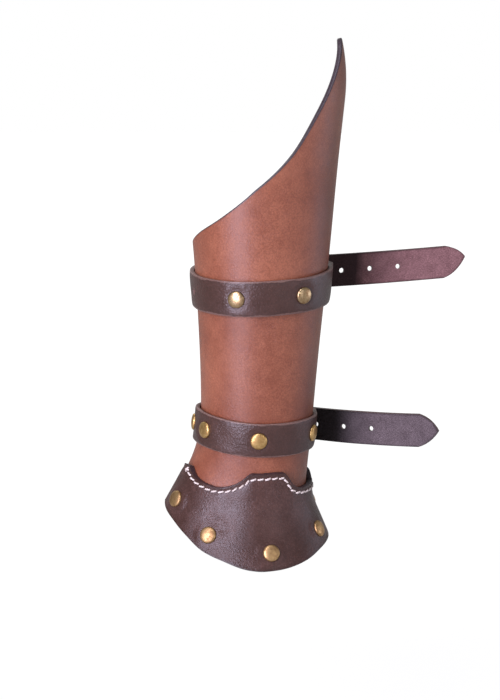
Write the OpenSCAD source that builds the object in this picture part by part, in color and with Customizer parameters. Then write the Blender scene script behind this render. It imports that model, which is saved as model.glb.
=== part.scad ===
// Leather bracer for the left forearm: a stiff cuff open along the back,
// two buckled straps riveted round it and a studded hand guard at the wrist.
// Z runs up the forearm from the wrist to the elbow, -Y is the back of the hand,
// +X is the little-finger side. Angles run from -Y towards +X.

/* [Forearm shape] */
// Height of the narrowest part above the wrist opening
waist_h = 60; // [50:1:75]
// Half width at the waist on the thumb side
thumb_waist = 32.3; // [28:0.1:38]
// Radius of the long outward bow above the waist on the thumb side
thumb_bow_r = 1060; // [700:10:2000]
// Half width at the wrist opening on the little-finger side
little_wrist = 29.9; // [28:0.1:36]
// Half width carried up to the tip on the little-finger side
little_elbow = 55.9; // [48:0.1:60]
// Half depth at the wrist opening, front and back
depth_wrist = 28; // [25:0.1:32]
// Half depth carried up to the tip, front and back
depth_elbow = 46.7; // [42:0.1:52]
// Height of the tip part that closes in on the elbow
tip_curl_h = 35; // [20:1:50]
// Radius of that inward curl
tip_curl_r = 111; // [90:1:200]

/* [Wrist flare] */
// Height where the flare starts on the thumb side
flare_thumb_h = 55; // [45:1:58]
// Bend radius of the flare on the thumb side
flare_thumb_r = 70; // [60:1:100]
// Height where the flare starts on the front and back
flare_front_h = 22; // [10:1:30]
// Bend radius of the flare on the front and back
flare_front_r = 77; // [60:1:120]
// Height where the flare starts on the little-finger side
flare_little_h = 16; // [8:1:20]
// Bend radius of the flare on the little-finger side
flare_little_r = 40; // [36:1:60]
// Steepest spread of the flare, sideways over down
flare_slope = 0.52; // [0.4:0.01:0.7]

/* [Cuff] */
// Thickness of the cuff leather
cuff_t = 3; // [2:0.1:4]
// Height of the tip over the elbow
tip_h = 275; // [250:1:300]
// Height of the upper edge at its low side, towards the thumb
low_h = 157; // [150:1:175]
// Rise of the lower edge towards the thumb
wrist_rise = 13; // [8:0.5:16]
// Angle of the back slit's edge that carries the buckles
slit_from = 175; // [172:1:180]
// Width of the back slit as an angle
slit_angle = 26; // [18:1:34]

/* [Straps] */
// Width of both straps
strap_w = 20.5; // [18:0.1:23]
// Thickness of the strap leather
strap_t = 2.6; // [2:0.1:3]
// Height of the upper strap's centre line at the front
upper_h = 127.4; // [115:0.1:135]
// Slope of the upper strap, higher towards the thumb
upper_slope = -0.025; // [-0.05:0.001:0.03]
// Rise of the upper strap from the front to the sides, besides its slope
upper_side_rise = 0; // [0:0.1:3]
// Rise of the upper strap from the front to the back
upper_back_rise = 7.5; // [3:0.1:9]
// Gap between the upper strap and the cuff
upper_gap = 0.6; // [0.3:0.1:1.5]
// Height of the lower strap's centre line at the front
lower_h = 43.9; // [40:0.1:52]
// Slope of the lower strap, higher towards the thumb
lower_slope = 0.062; // [0:0.001:0.09]
// Rise of the lower strap from the front to the sides, besides its slope
lower_side_rise = 2.9; // [0:0.1:4]
// Rise of the lower strap from the front to the back
lower_back_rise = -0.9; // [-3:0.1:2]
// Gap between the lower strap and the cuff
lower_gap = 0.2; // [0.15:0.01:1]
// Pitch of the punched holes
hole_pitch = 18; // [15:0.1:20]
// Diameter of the punched holes
hole_d = 3.1; // [2.6:0.1:4]
// Holes past the one on the prong
hole_count = 4; // [2:1:5]
// Last hole to the pointed tip
tip_l = 43; // [30:1:50]
// Length of the pointed end
point_l = 12.5; // [8:0.5:16]
// Length of each strap end folded back under the band behind its buckle
chape_l = 25; // [23:0.5:30]
// Length over which the band comes down past that end
chape_step = 9; // [7:0.5:12]

/* [Buckles] */
// Angle of the upper buckle's heel bar
upper_buckle_at = 147; // [140:1:150]
// Angle of the lower buckle's heel bar
lower_buckle_at = 160; // [156:1:162]
// Heel bar to outer bar, measured round the arm
window_l = 19; // [18:0.1:22]
// Wire diameter of the frames
bar_d = 3; // [2.6:0.1:3.4]
// Bend radius at the frames' corners
corner_r = 2.5; // [2:0.1:3]
// Room between the strap's edges and the frame
frame_room = 0.8; // [0.5:0.1:1.2]
// Outside diameter of the rollers
roller_d = 5; // [4.4:0.1:5.6]
// Shank diameter of the prongs
prong_d = 2.2; // [1.8:0.1:2.4]
// Width of the prong's loop round the heel bar
prong_w = 3.4; // [3:0.1:4]
// Wall of that loop
loop_t = 1.45; // [1.2:0.05:1.6]
// How far the prong reaches past the roller's centre
prong_over = 3; // [2:0.1:4]
// Set of the upper tail, outwards from its run through the buckle
upper_set = 3; // [0:1:8]
// Set of the lower tail, outwards from its run through the buckle
lower_set = -44; // [-50:1:-20]
// Rise of the upper tail over its length
upper_tail_slope = 0.1; // [0:0.001:0.12]
// Rise of the lower tail over its length
lower_tail_slope = -0.008; // [-0.03:0.001:0.03]
// Lift of the frame that its hole in the strap must allow, in degrees
frame_lift = 6; // [4:1:8]
// Lift of the prong on its frame that the hole must allow, in degrees
prong_lift = 12; // [8:1:14]

/* [Rivets] */
// Diameter of the domed caps
cap_d = 10; // [8:0.1:11]
// Height of the dome
cap_h = 2.1; // [1.5:0.1:3]
// Height of the straight rim under the dome
rim_h = 0.5; // [0.3:0.1:0.8]
// Diameter of the rivet post
post_d = 2.8; // [2.4:0.1:3.2]
// Wall of the socket that the post is pressed into
socket_wall = 0.4; // [0.3:0.05:0.6]
// Diameter of the inner cap
back_d = 8.5; // [7:0.1:9.5]
// Thickness of the inner cap
back_t = 0.9; // [0.7:0.1:1.4]

/* [Hand guard] */
// Thickness of the guard leather
guard_t = 3; // [2:0.1:4]
// Gap between the guard and the cuff under it
guard_gap = 0.35; // [0.3:0.05:0.6]
// Drop of the guard's lowest point below the wrist opening
guard_drop = 30.8; // [24:1:38]
// Height of the raised middle of the guard's upper edge
guard_rise = 23.2; // [20:0.1:27]
// Depth of the hollows beside it
guard_hollow = 11.2; // [9:0.1:13]
// Distance from the guard's lower edge to the rivets
rivet_inset = 8; // [7:0.1:11]

/* [Stitching] */
// Diameter of the thread
thread_d = 0.9; // [0.6:0.1:1.2]
// Length of one visible stitch
stitch_l = 3.5; // [2.5:0.1:4]
// Pitch of the stitches
stitch_pitch = 4.3; // [4.2:0.1:6]
// Distance from the guard's upper edge to the seam
seam_inset = 3.1; // [2.5:0.1:5]

/* [Hidden] */
$fn = 48;

// Small working clearances
rest_gap = 0.3;
turn_gap = 0.05;
fold_gap = 0.1;
layer_gap = 0.15;
seat_gap = 0.05;
hole_room = 0.1;

// Angles where rivets hold each part to the cuff
upper_rivets_at = [-16.2, 38.8];
lower_rivets_at = [-86.7, -54.6, 3.8, 70.2];
spare_hole_at = -68.7;
guard_rivets_at = [-63, -26.6, 12.3, 65, 115];

// Upper edge of the cuff: angle, and share of the rise from low side to tip
slit_to = slit_from + slit_angle - 360;
cuff_top = [[slit_to, -0.05], [-120, -0.04], [-90, 0], [-60, 0.06], [-30, 0.14], [0, 0.27], [25, 0.435],
    [45, 0.645], [62, 0.835], [74, 0.945], [83, 1], [92, 0.965], [108, 0.83], [130, 0.57],
    [153, 0.34], [slit_from, 0.22]];
// Lower edge of the cuff under the guard: angle, and share of its rise towards the thumb
cuff_low = [[slit_to, 0.92], [-120, 1], [-90, 1], [-63, 0.77], [-30, 0.23], [0, 0.23], [45, 0], [90, 0],
    [130, 0.08], [slit_from, 0.15]];
// Upper edge of the guard: angle, and share of the depth of its hollows below the raised middle
guard_top = [[-79, 0.1], [-70, 0.12], [-64.9, 0.09], [-55.3, -0.25], [-46, -0.51], [-38, -0.65],
    [-30.5, -0.75], [-24, -0.74], [-18.9, -0.66], [-13.9, -0.52], [-9, -0.3], [-5.7, -0.1], [-2.2, 0.02],
    [1, 0.01], [12.7, 0.01], [19.5, 0.03], [28.5, 0], [30.4, -0.01], [34.7, -0.26], [39.3, -0.57],
    [45.1, -0.83], [53.3, -0.97], [60.2, -0.99], [68, -1], [76, -1], [92, -0.95], [107, -0.58],
    [122, -0.45]];
// Lower edge of the guard: angle, and share of its drop
guard_low = [[-91, -0.08], [-71, 0.08], [-55, 0.24], [-42, 0.43], [-28, 0.685], [-16, 0.83], [-4, 0.96],
    [8, 1], [24, 0.975], [40, 0.89], [55, 0.79], [70, 0.72], [88, 0.64], [110, 0.45], [136, 0.05]];

function rise(x) = max(x, 0);
function mix(a, b, k) = a + (b - a) * k;
function ease(k) = let(c = min(max(k, 0), 1)) c * c * (3 - 2 * c);
function unit(v) = v / norm(v);

// Smooth curve through the points [x, y] of a list, sorted by x
function index_at(pts, x, i = 0) = i >= len(pts) - 2 || x < pts[i + 1][0] ? i : index_at(pts, x, i + 1);
function slope_at(pts, i) = let(a = pts[max(i - 1, 0)], b = pts[min(i + 1, len(pts) - 1)])
    (b[1] - a[1]) / (b[0] - a[0]);
function curve(pts, x) = let(i = index_at(pts, x), a = pts[i], b = pts[i + 1], h = b[0] - a[0],
    t = min(max((x - a[0]) / h, 0), 1), t2 = t * t, t3 = t2 * t)
    a[1] * (2 * t3 - 3 * t2 + 1) + slope_at(pts, i) * h * (t3 - 2 * t2 + t)
    + b[1] * (3 * t2 - 2 * t3) + slope_at(pts, i + 1) * h * (t3 - t2);

// Forearm section: four quarter ellipses, each half size a function of height
function flare(z, h, r) = let(d = rise(h - z), lim = r * flare_slope)
    d < lim ? d * d / (2 * r) : lim * lim / (2 * r) + (d - lim) * flare_slope;
function half_thumb(z) = thumb_waist + pow(rise(z - waist_h), 2) / (2 * thumb_bow_r)
    + flare(z, flare_thumb_h, flare_thumb_r);
function half_little(z) = mix(little_wrist, little_elbow, z / tip_h)
    - pow(rise(z - tip_h + tip_curl_h), 2) / (2 * tip_curl_r) + flare(z, flare_little_h, flare_little_r);
function half_depth(z) = mix(depth_wrist, depth_elbow, z / tip_h) + flare(z, flare_front_h, flare_front_r);
function half_width(a, z) = sin(a) < 0 ? half_thumb(z) : half_little(z);
// Point on the surface that lies off outside the cuff's outer face
function skin(a, z, off = 0) = [(half_width(a, z) + off) * sin(a), -(half_depth(z) + off) * cos(a), z];
function along(a, z) = unit(skin(a + 0.5, z) - skin(a - 0.5, z));
function up(a, z) = unit(skin(a, z + 0.5) - skin(a, z - 0.5));
function outward(a, z) = unit(cross(along(a, z), up(a, z)));

// Centre line height of each strap round the arm
function line_height(a, h, slope, side_rise, back_rise) =
    h - slope * skin(a, h)[0] + side_rise * pow(sin(a), 2) + back_rise * (1 - cos(a)) / 2;
function upper_z(a) = line_height(a, upper_h, upper_slope, upper_side_rise, upper_back_rise);
function lower_z(a) = line_height(a, lower_h, lower_slope, lower_side_rise, lower_back_rise);

// Everything about one strap in one list, read by the names below
upper = [upper_buckle_at, upper_gap, upper_set, upper_tail_slope, 0];
lower = [lower_buckle_at, lower_gap, lower_set, lower_tail_slope, 1];
function heel_at(s) = s[0];
function gap_of(s) = s[1];
function set_of(s) = s[2];
function tail_slope(s) = s[3];
function line_z(s, a) = s[4] == 0 ? upper_z(a) : lower_z(a);
function band_point(s, a, off) = skin(a, line_z(s, a), off);

// Frame of reference at a buckle: x round the arm towards the tail, y outwards, z up
function base_of(s) = band_point(s, heel_at(s), 0);
function yaw_of(s) = let(t = -along(heel_at(s), base_of(s)[2])) atan2(t[1], t[0]);
function lean_of(s) = let(u = up(heel_at(s), base_of(s)[2]), y = yaw_of(s))
    atan2(-u[0] * sin(y) + u[1] * cos(y), u[2]);
function axis_x(s) = [cos(yaw_of(s)), sin(yaw_of(s)), 0];
function axis_y(s) = let(l = lean_of(s)) [-sin(yaw_of(s)) * cos(l), cos(yaw_of(s)) * cos(l), -sin(l)];
function axis_z(s) = cross(axis_x(s), axis_y(s));
function to_world(s, p) = base_of(s) + axis_x(s) * p[0] + axis_y(s) * p[1];
function to_local(s, w) = let(d = w - base_of(s)) [d * axis_x(s), d * axis_y(s)];
module at_buckle(s) {
    translate(base_of(s)) rotate([-lean_of(s), 0, yaw_of(s)]) children();
}

// Places in that frame: heel bar, roller, and the strap's run over them
fold_r = bar_d / 2 + fold_gap + strap_t / 2;
under_r = roller_d / 2 + rest_gap + strap_t / 2;
over_r = fold_r + strap_t / 2 + rest_gap + strap_t / 2;
function heel(s) = [0, gap_of(s) + strap_t / 2 + fold_r];
function roller_at(s) = heel_at(s) + window_l / half_depth(line_z(s, 180)) * 180 / PI;
function roller(s) = to_local(s, band_point(s, roller_at(s), gap_of(s) + strap_t / 2 + under_r));
function bars_gap(s) = norm(heel(s) - roller(s));
function bars_turn(s) = let(d = heel(s) - roller(s)) atan2(d[1], d[0]);
function ramp_turn(s) = bars_turn(s) + asin((under_r + over_r) / bars_gap(s));
function dir(a) = [cos(a), sin(a)];
function side(a) = [-sin(a), cos(a)];
function ramp_from(s) = roller(s) - side(ramp_turn(s)) * under_r;
function ramp_to(s) = heel(s) + side(ramp_turn(s)) * over_r;
function tail_turn(s) = ramp_turn(s) + set_of(s);
// The tail bends where it leaves the fold, about an axis in the middle of its thickness
hinge_run = strap_t / 2 + rest_gap;
function bend_end(s) = heel(s) + side(min(tail_turn(s), ramp_turn(s))) * over_r;
function hinge(s) = bend_end(s) + dir(tail_turn(s)) * hinge_run;

// Prong: from over the heel bar to the top of the roller
loop_d = bar_d + 2 * (turn_gap + loop_t);
prong_lift_off = (loop_d - prong_d) / 2;
function prong_turn(s) = let(d = roller(s) - heel(s), far = roller_d / 2 + rest_gap + prong_d / 2)
    180 + bars_turn(s) - asin((far - prong_lift_off) / norm(d));
function prong_root(s) = heel(s) - side(prong_turn(s)) * prong_lift_off;
prong_l = window_l + prong_over;
// Where the prong crosses the middle of the strap
function crossing(s) = let(a = ramp_from(s), u = dir(ramp_turn(s)), v = dir(prong_turn(s)),
    b = prong_root(s) - a) a + u * (b[0] * v[1] - b[1] * v[0]) / (u[0] * v[1] - u[1] * v[0]);
// Length of strap from the prong's hole to the hinge
function bend_arc(s) = rise(-set_of(s)) * PI / 180 * over_r;
function run_to_hinge(s) = norm(ramp_to(s) - crossing(s)) + bend_arc(s) + hinge_run;

// Solid between two grids of points, rows by columns, closed all round
module shell(inner, outer) {
    r = len(inner);
    c = len(inner[0]);
    pts = concat([for (row = inner) each row], [for (row = outer) each row]);
    function id(k, i, j) = k * r * c + i * c + j;
    walls = [for (i = [0:r - 2], j = [0:c - 2]) each [
        [id(0, i, j), id(0, i + 1, j), id(0, i + 1, j + 1)],
        [id(0, i, j), id(0, i + 1, j + 1), id(0, i, j + 1)],
        [id(1, i, j), id(1, i + 1, j + 1), id(1, i + 1, j)],
        [id(1, i, j), id(1, i, j + 1), id(1, i + 1, j + 1)]]];
    sides = [for (i = [0:r - 2]) each [
        [id(0, i, 0), id(1, i, 0), id(1, i + 1, 0)], [id(0, i, 0), id(1, i + 1, 0), id(0, i + 1, 0)],
        [id(0, i, c - 1), id(1, i + 1, c - 1), id(1, i, c - 1)],
        [id(0, i, c - 1), id(0, i + 1, c - 1), id(1, i + 1, c - 1)]]];
    ends = [for (j = [0:c - 2]) each [
        [id(0, 0, j), id(1, 0, j + 1), id(1, 0, j)], [id(0, 0, j), id(0, 0, j + 1), id(1, 0, j + 1)],
        [id(0, r - 1, j), id(1, r - 1, j), id(1, r - 1, j + 1)],
        [id(0, r - 1, j), id(1, r - 1, j + 1), id(0, r - 1, j + 1)]]];
    polyhedron(points = pts, faces = concat(walls, sides, ends), convexity = 10);
}

// Ribbon of leather along a list of [middle, outward, up]
module ribbon(path, w, t) {
    function edge(f, y) = [f[0] + f[1] * y + f[2] * w / 2, f[0] + f[1] * y - f[2] * w / 2];
    shell([for (f = path) edge(f, -t / 2)], [for (f = path) edge(f, t / 2)]);
}

// Cylinder between two points
module rod(a, b, d) {
    v = b - a;
    translate(a) rotate([0, acos(v[2] / norm(v)), atan2(v[1], v[0])]) cylinder(d = d, h = norm(v));
}

// Places a child with its z axis straight out of the cuff's surface
module on_skin(a, z, off) {
    n = outward(a, z);
    translate(skin(a, z, 0) + n * off) rotate([0, acos(n[2]), atan2(n[1], n[0])]) children();
}

module post_hole(a, z, from, to) {
    on_skin(a, z, from) cylinder(d = post_d + 2 * (socket_wall + hole_room), h = to - from);
}

// Domed cap with its post, seated at its underside
module rivet_cap(stack) {
    ball = (pow(cap_d / 2, 2) + pow(cap_h, 2)) / (2 * cap_h);
    rotate_extrude() intersection() {
        translate([0, rim_h + cap_h - ball]) circle(r = ball, $fn = 4 * $fn);
        square([cap_d / 2, rim_h + cap_h]);
    }
    translate([0, 0, -stack]) cylinder(d = post_d, h = stack + rim_h / 2);
}

// Inner cap with the socket that takes the post, seated at its upper face
module rivet_back() {
    difference() {
        union() {
            translate([0, 0, -back_t]) cylinder(d = back_d, h = back_t);
            cylinder(d = post_d + 2 * socket_wall, h = back_t);
        }
        translate([0, 0, -back_t / 2]) cylinder(d = post_d + 2 * turn_gap, h = 2 * back_t);
    }
}

// How far a flat cap stands off a hollow wall so that its rim clears: inside the cuff, outside the flare
back_seat = pow(back_d, 2) / (8 * (pow(depth_wrist, 2) / thumb_waist - cuff_t)) + seat_gap;
flare_seat = pow(cap_d, 2) / (8 * flare_little_r);

module cap_on(p, seat, into) {
    on_skin(p[0], p[1], seat + seat_gap) rivet_cap(seat - into);
}
module backs_on(list, wall) {
    for (p = list) on_skin(p[0], p[1], wall - back_seat) rivet_back();
}

// Heel bar to the chape's rivet, which leaves a little leather past its cap
cap_edge = 2.5;
chape_rivet_l = chape_l - cap_d / 2 - cap_edge;
function upper_rivets() = [for (a = upper_rivets_at) [a, upper_z(a)]];
function lower_rivets() = [for (a = lower_rivets_at) [a, lower_z(a)]];
function chape_rivet(s) = let(a = heel_at(s) - chape_rivet_l / half_depth(line_z(s, 180)) * 180 / PI)
    [a, line_z(s, a)];
function band_seat(s, a) = band_off(s, a) + strap_t / 2;
function chape_seat(s) = gap_of(s) + 2 * strap_t + layer_gap;
post_end = cuff_t + back_seat;

// Cuff
cuff_step = 6.4;
cuff_rows = 18;
row_bias = 1.3;
cuff_angles = let(a = [for (p = cuff_top) p[0]]) [for (i = [0:len(a) - 2])
    let(n = max(round((a[i + 1] - a[i]) / cuff_step), 1))
        each [for (k = [0:n - 1]) mix(a[i], a[i + 1], k / n)], slit_from];
function cuff_edge(a) = mix(low_h, tip_h, curve(cuff_top, a));
function cuff_grid(off) = [for (a = cuff_angles) let(z0 = wrist_rise * curve(cuff_low, a), z1 = cuff_edge(a))
    [for (i = [0:cuff_rows]) skin(a, mix(z0, z1, pow(i / cuff_rows, row_bias)), off)]];
module cuff() {
    color("#a8654a") difference() {
        shell(cuff_grid(-cuff_t), cuff_grid(0));
        for (p = concat(upper_rivets(), lower_rivets(), [chape_rivet(upper)], [chape_rivet(lower)]))
            post_hole(p[0], p[1], -2 * cuff_t, cuff_t);
    }
}

// Hand guard
guard_steps = 46;
guard_rows = 7;
guard_inner = guard_gap;
guard_outer = guard_gap + guard_t;
function guard_top_z(a) = guard_rise + guard_hollow * curve(guard_top, a);
function guard_low_z(a) = -guard_drop * curve(guard_low, a);
function ends(list) = [list[0][0], list[len(list) - 1][0]];
function guard_grid(off) = [for (j = [0:guard_steps]) let(k = j / guard_steps,
    a0 = mix(ends(guard_low)[0], ends(guard_low)[1], k), a1 = mix(ends(guard_top)[0], ends(guard_top)[1], k))
    [for (i = [0:guard_rows]) let(m = i / guard_rows)
        skin(mix(a0, a1, m), mix(guard_low_z(a0), guard_top_z(a1), m), off)]];
function guard_rivets() = [for (a = guard_rivets_at) [a, guard_low_z(a) + rivet_inset]];
module hand_guard() {
    color("#59434a") difference() {
        shell(guard_grid(guard_inner), guard_grid(guard_outer));
        for (p = guard_rivets()) post_hole(p[0], p[1], -guard_t, 2 * guard_t);
    }
}
module guard_rivet_caps() {
    color("#b08a55") for (p = guard_rivets()) cap_on(p, guard_outer + flare_seat, guard_inner - back_seat);
}
module guard_rivet_backs() {
    color("#b08a55") backs_on(guard_rivets(), guard_inner);
}

// Seam along the guard's upper edge, one short rod a stitch, outside and inside
seam_samples = 160;
seam_end = 3;
function seam_angle(k) = mix(ends(guard_top)[0] + seam_end, ends(guard_top)[1] - seam_end, k);
function seam_point(a, off) = let(p = skin(a - 0.5, guard_top_z(a - 0.5), off),
    q = skin(a + 0.5, guard_top_z(a + 0.5), off), grade = (q[2] - p[2]) / norm([q[0] - p[0], q[1] - p[1]]))
    skin(a, guard_top_z(a) - seam_inset * sqrt(1 + grade * grade), off);
seam_dots = [for (i = [0:seam_samples]) seam_point(seam_angle(i / seam_samples), guard_outer)];
function sums(v, i = 0, t = 0) = i >= len(v) ? [] : concat([t + v[i]], sums(v, i + 1, t + v[i]));
seam_runs = concat([0], sums([for (i = [1:seam_samples]) norm(seam_dots[i] - seam_dots[i - 1])]));
seam_table = [for (i = [0:seam_samples]) [seam_runs[i], seam_angle(i / seam_samples)]];
stitch_count = floor(seam_runs[seam_samples] / stitch_pitch);
module seam(off) {
    for (i = [0:stitch_count - 1]) {
        s = (i + 0.5) * stitch_pitch;
        rod(seam_point(lookup(s - stitch_l / 2, seam_table), off),
            seam_point(lookup(s + stitch_l / 2, seam_table), off), thread_d, $fn = 16);
    }
}
module guard_stitching() {
    color("#efe6da") {
        seam(guard_outer + thread_d / 2 + layer_gap);
        seam(-cuff_t - thread_d / 2 - layer_gap);
    }
}

// Straps: the end folded under, the band round the arm, the run up through the buckle
band_step = 6;
fold_steps = 9;
bend_steps = 5;
fold_blend = 9;
function surface_frame(s, a, off) = let(z = line_z(s, a)) [skin(a, z, off), outward(a, z), up(a, z)];
// The band stays straight across its width, so its middle stands off the hollow of the flare
function bridge(s, a) = line_z(s, a) > flare_thumb_h ? 0 :
    pow(min(sin(a), 0) * strap_w, 2) / (8 * flare_thumb_r);
// Near the buckle the band lies on its own folded end, and rises over the heel bar
function over_end(s, d) = mix(strap_t + layer_gap, 2 * fold_r, 1 - ease(d / fold_blend))
    * (1 - ease((d - chape_l) / chape_step));
function band_off(s, a) = gap_of(s) + strap_t / 2 + bridge(s, a)
    + (a < 0 ? 0 : over_end(s, (heel_at(s) - a) / turn_per_mm(s)));
function local_frame(s, p, n) = [to_world(s, p), axis_x(s) * n[0] + axis_y(s) * n[1], axis_z(s)];
function turn_per_mm(s) = 180 / PI / half_depth(line_z(s, 180));
function folded_part(s) = [for (i = [0:fold_steps - 1]) let(d = chape_l * (1 - i / fold_steps),
    f = surface_frame(s, heel_at(s) - d * turn_per_mm(s), gap_of(s) + strap_t / 2)) [f[0], -f[1], f[2]]];
function fold_arc(s) = [for (i = [0:fold_steps]) let(a = 270 - 180 * i / fold_steps)
    local_frame(s, heel(s) + dir(a) * fold_r, dir(a))];
function band_angles(s) = let(a0 = heel_at(s), am = a0 - (chape_l + chape_step) * turn_per_mm(s),
    a1 = roller_at(s) - 360, m = 2 * fold_steps, n = round((am - a1) / band_step))
    concat([for (i = [1:m]) mix(a0, am, i / m)], [for (i = [1:n]) mix(am, a1, i / n)]);
function band_part(s) = [for (a = band_angles(s)) surface_frame(s, a, band_off(s, a))];
function roller_start(s) = let(n = outward(roller_at(s), line_z(s, roller_at(s))))
    atan2(-(n * axis_y(s)), -(n * axis_x(s)));
function roller_arc(s) = let(a0 = roller_start(s), a1 = ramp_turn(s) - 90)
    [for (i = [1:bend_steps]) let(a = mix(a0 > 0 ? a0 - 360 : a0, a1, i / bend_steps))
        local_frame(s, roller(s) + dir(a) * under_r, -dir(a))];
function over_arc(s) = set_of(s) >= 0 ? [local_frame(s, ramp_to(s), side(ramp_turn(s)))] :
    [for (i = [0:bend_steps]) let(a = mix(ramp_turn(s), tail_turn(s), i / bend_steps))
        local_frame(s, heel(s) + side(a) * over_r, side(a))];
// Slot in the fold that lets the prong's loop reach the heel bar
slot_w = prong_w + 2 * rest_gap;
slot_l = 6;
module prong_slot(s) {
    reach = over_r - strap_t / 2 - rest_gap / 2;
    at_buckle(s) translate([heel(s)[0], heel(s)[1], -slot_w / 2]) {
        cylinder(r = reach, h = slot_w);
        translate([0, -reach - strap_t, 0]) cube([slot_l, 2 * reach + strap_t, slot_w]);
    }
}
module strap(s, rivets) {
    difference() {
        ribbon(concat(folded_part(s), fold_arc(s), band_part(s), roller_arc(s), over_arc(s)),
            strap_w, strap_t);
        for (p = rivets) post_hole(p[0], p[1], 0, 3 * strap_t);
        prong_slot(s);
        prong_way(s);
    }
}
// Room in the strap for the prong, at rest and lifted
module prong_way(s) {
    at_buckle(s) translate([heel(s)[0], heel(s)[1], 0])
        for (k = [0:0.25:1]) rotate([0, 0, prong_turn(s) - k * (frame_lift + prong_lift)])
            translate([loop_d / 2, -prong_lift_off, 0]) rotate([0, 90, 0])
                cylinder(d = prong_d + 2 * rest_gap, h = window_l - (roller_d + loop_d) / 2);
}

module upper_strap() {
    color("#4f3a38") difference() {
        strap(upper, concat(upper_rivets(), [chape_rivet(upper)]));
        on_skin(spare_hole_at, upper_z(spare_hole_at), 0) cylinder(d = hole_d, h = 3 * strap_t);
    }
}
module lower_strap() {
    color("#4f3a38") strap(lower, concat(lower_rivets(), [chape_rivet(lower)]));
}

// Free end of a strap, from its bend at the buckle to the pointed tip
point_fullness = 1.35;
point_r = (pow(point_l, 2) + pow(strap_w / 2, 2)) / strap_w * point_fullness;
function point_x(y) = let(half = strap_w / 2, c = point_r - half) sqrt(pow(point_r, 2) - pow(abs(y) + c, 2));
point_steps = 12;
function tail_outline(l, slope) = let(h = strap_w / 2)
    [for (p = concat([[0, -h]], [for (i = [0:point_steps]) let(y = mix(-h, h, i / point_steps))
        [l - point_l * (1 - point_x(y) / point_x(0)), y]], [[0, h]])) [p[0], p[1] + slope * p[0]]];
module strap_tail(s) {
    l = hole_pitch * hole_count + tip_l - run_to_hinge(s);
    color("#63484c") at_buckle(s) translate([hinge(s)[0], hinge(s)[1], 0]) rotate([0, 0, tail_turn(s)])
        difference() {
            union() {
                cylinder(d = strap_t, h = strap_w, center = true);
                rotate([90, 0, 0]) translate([0, 0, -strap_t / 2]) linear_extrude(strap_t)
                    polygon(tail_outline(l, tail_slope(s)));
            }
            for (i = [1:hole_count]) {
                x = i * hole_pitch - run_to_hinge(s);
                translate([x, 0, tail_slope(s) * x]) rotate([90, 0, 0])
                    cylinder(d = hole_d, h = 2 * strap_t, center = true);
            }
        }
}
module upper_strap_tail() {
    strap_tail(upper);
}
module lower_strap_tail() {
    strap_tail(lower);
}

// Rivets that hold the straps
module upper_strap_rivet_caps() {
    color("#b08a55") for (p = upper_rivets()) cap_on(p, band_seat(upper, p[0]), -post_end);
}
module upper_strap_rivet_backs() {
    color("#b08a55") backs_on(upper_rivets(), -cuff_t);
}
module lower_strap_rivet_caps() {
    color("#b08a55") for (p = lower_rivets()) cap_on(p, band_seat(lower, p[0]), -post_end);
}
module lower_strap_rivet_backs() {
    color("#b08a55") backs_on(lower_rivets(), -cuff_t);
}
module upper_chape_rivet_cap() {
    color("#b08a55") cap_on(chape_rivet(upper), chape_seat(upper), -post_end);
}
module upper_chape_rivet_back() {
    color("#b08a55") backs_on([chape_rivet(upper)], -cuff_t);
}
module lower_chape_rivet_cap() {
    color("#b08a55") cap_on(chape_rivet(lower), chape_seat(lower), -post_end);
}
module lower_chape_rivet_back() {
    color("#b08a55") backs_on([chape_rivet(lower)], -cuff_t);
}

// Buckles, drawn from the heel bar towards the outer bar
frame_half = strap_w / 2 + frame_room + bar_d / 2;
roller_l = strap_w - 1;
module buckle_frame(s) {
    g = bars_gap(s);
    color("#b4915c") at_buckle(s) translate([heel(s)[0], heel(s)[1], 0]) rotate([0, 0, bars_turn(s) + 180]) {
        for (x = [0, g]) translate([x, 0, corner_r - frame_half])
            cylinder(d = bar_d, h = 2 * (frame_half - corner_r));
        for (m = [0, 1]) mirror([0, 0, m]) {
            translate([corner_r, 0, frame_half]) rotate([0, 90, 0])
                cylinder(d = bar_d, h = g - 2 * corner_r);
            for (x = [corner_r, g - corner_r]) translate([x, 0, frame_half - corner_r])
                rotate([90, 0, 0]) rotate([0, 0, x > corner_r ? 0 : 90])
                    rotate_extrude(angle = 90) translate([corner_r, 0]) circle(d = bar_d, $fn = 32);
        }
    }
}
module buckle_roller(s) {
    color("#c09a62") at_buckle(s) translate([roller(s)[0], roller(s)[1], 0]) difference() {
        cylinder(d = roller_d, h = roller_l, center = true);
        cylinder(d = bar_d + 2 * turn_gap, h = roller_l + 1, center = true);
    }
}
module buckle_prong(s) {
    color("#b4915c") at_buckle(s) translate([heel(s)[0], heel(s)[1], 0]) difference() {
        union() {
            cylinder(d = loop_d, h = prong_w, center = true);
            rotate([0, 0, prong_turn(s)]) translate([0, -prong_lift_off, 0]) {
                rotate([0, 90, 0]) cylinder(d = prong_d, h = prong_l);
                translate([prong_l, 0, 0]) sphere(d = prong_d);
            }
        }
        cylinder(d = bar_d + 2 * turn_gap, h = prong_w + 1, center = true);
    }
}
module upper_buckle_frame() {
    buckle_frame(upper);
}
module upper_buckle_roller() {
    buckle_roller(upper);
}
module upper_buckle_prong() {
    buckle_prong(upper);
}
module lower_buckle_frame() {
    buckle_frame(lower);
}
module lower_buckle_roller() {
    buckle_roller(lower);
}
module lower_buckle_prong() {
    buckle_prong(lower);
}

cuff();
hand_guard();
guard_stitching();
guard_rivet_caps();
guard_rivet_backs();
upper_strap();
upper_strap_tail();
upper_strap_rivet_caps();
upper_strap_rivet_backs();
upper_chape_rivet_cap();
upper_chape_rivet_back();
upper_buckle_frame();
upper_buckle_roller();
upper_buckle_prong();
lower_strap();
lower_strap_tail();
lower_strap_rivet_caps();
lower_strap_rivet_backs();
lower_chape_rivet_cap();
lower_chape_rivet_back();
lower_buckle_frame();
lower_buckle_roller();
lower_buckle_prong();
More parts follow.
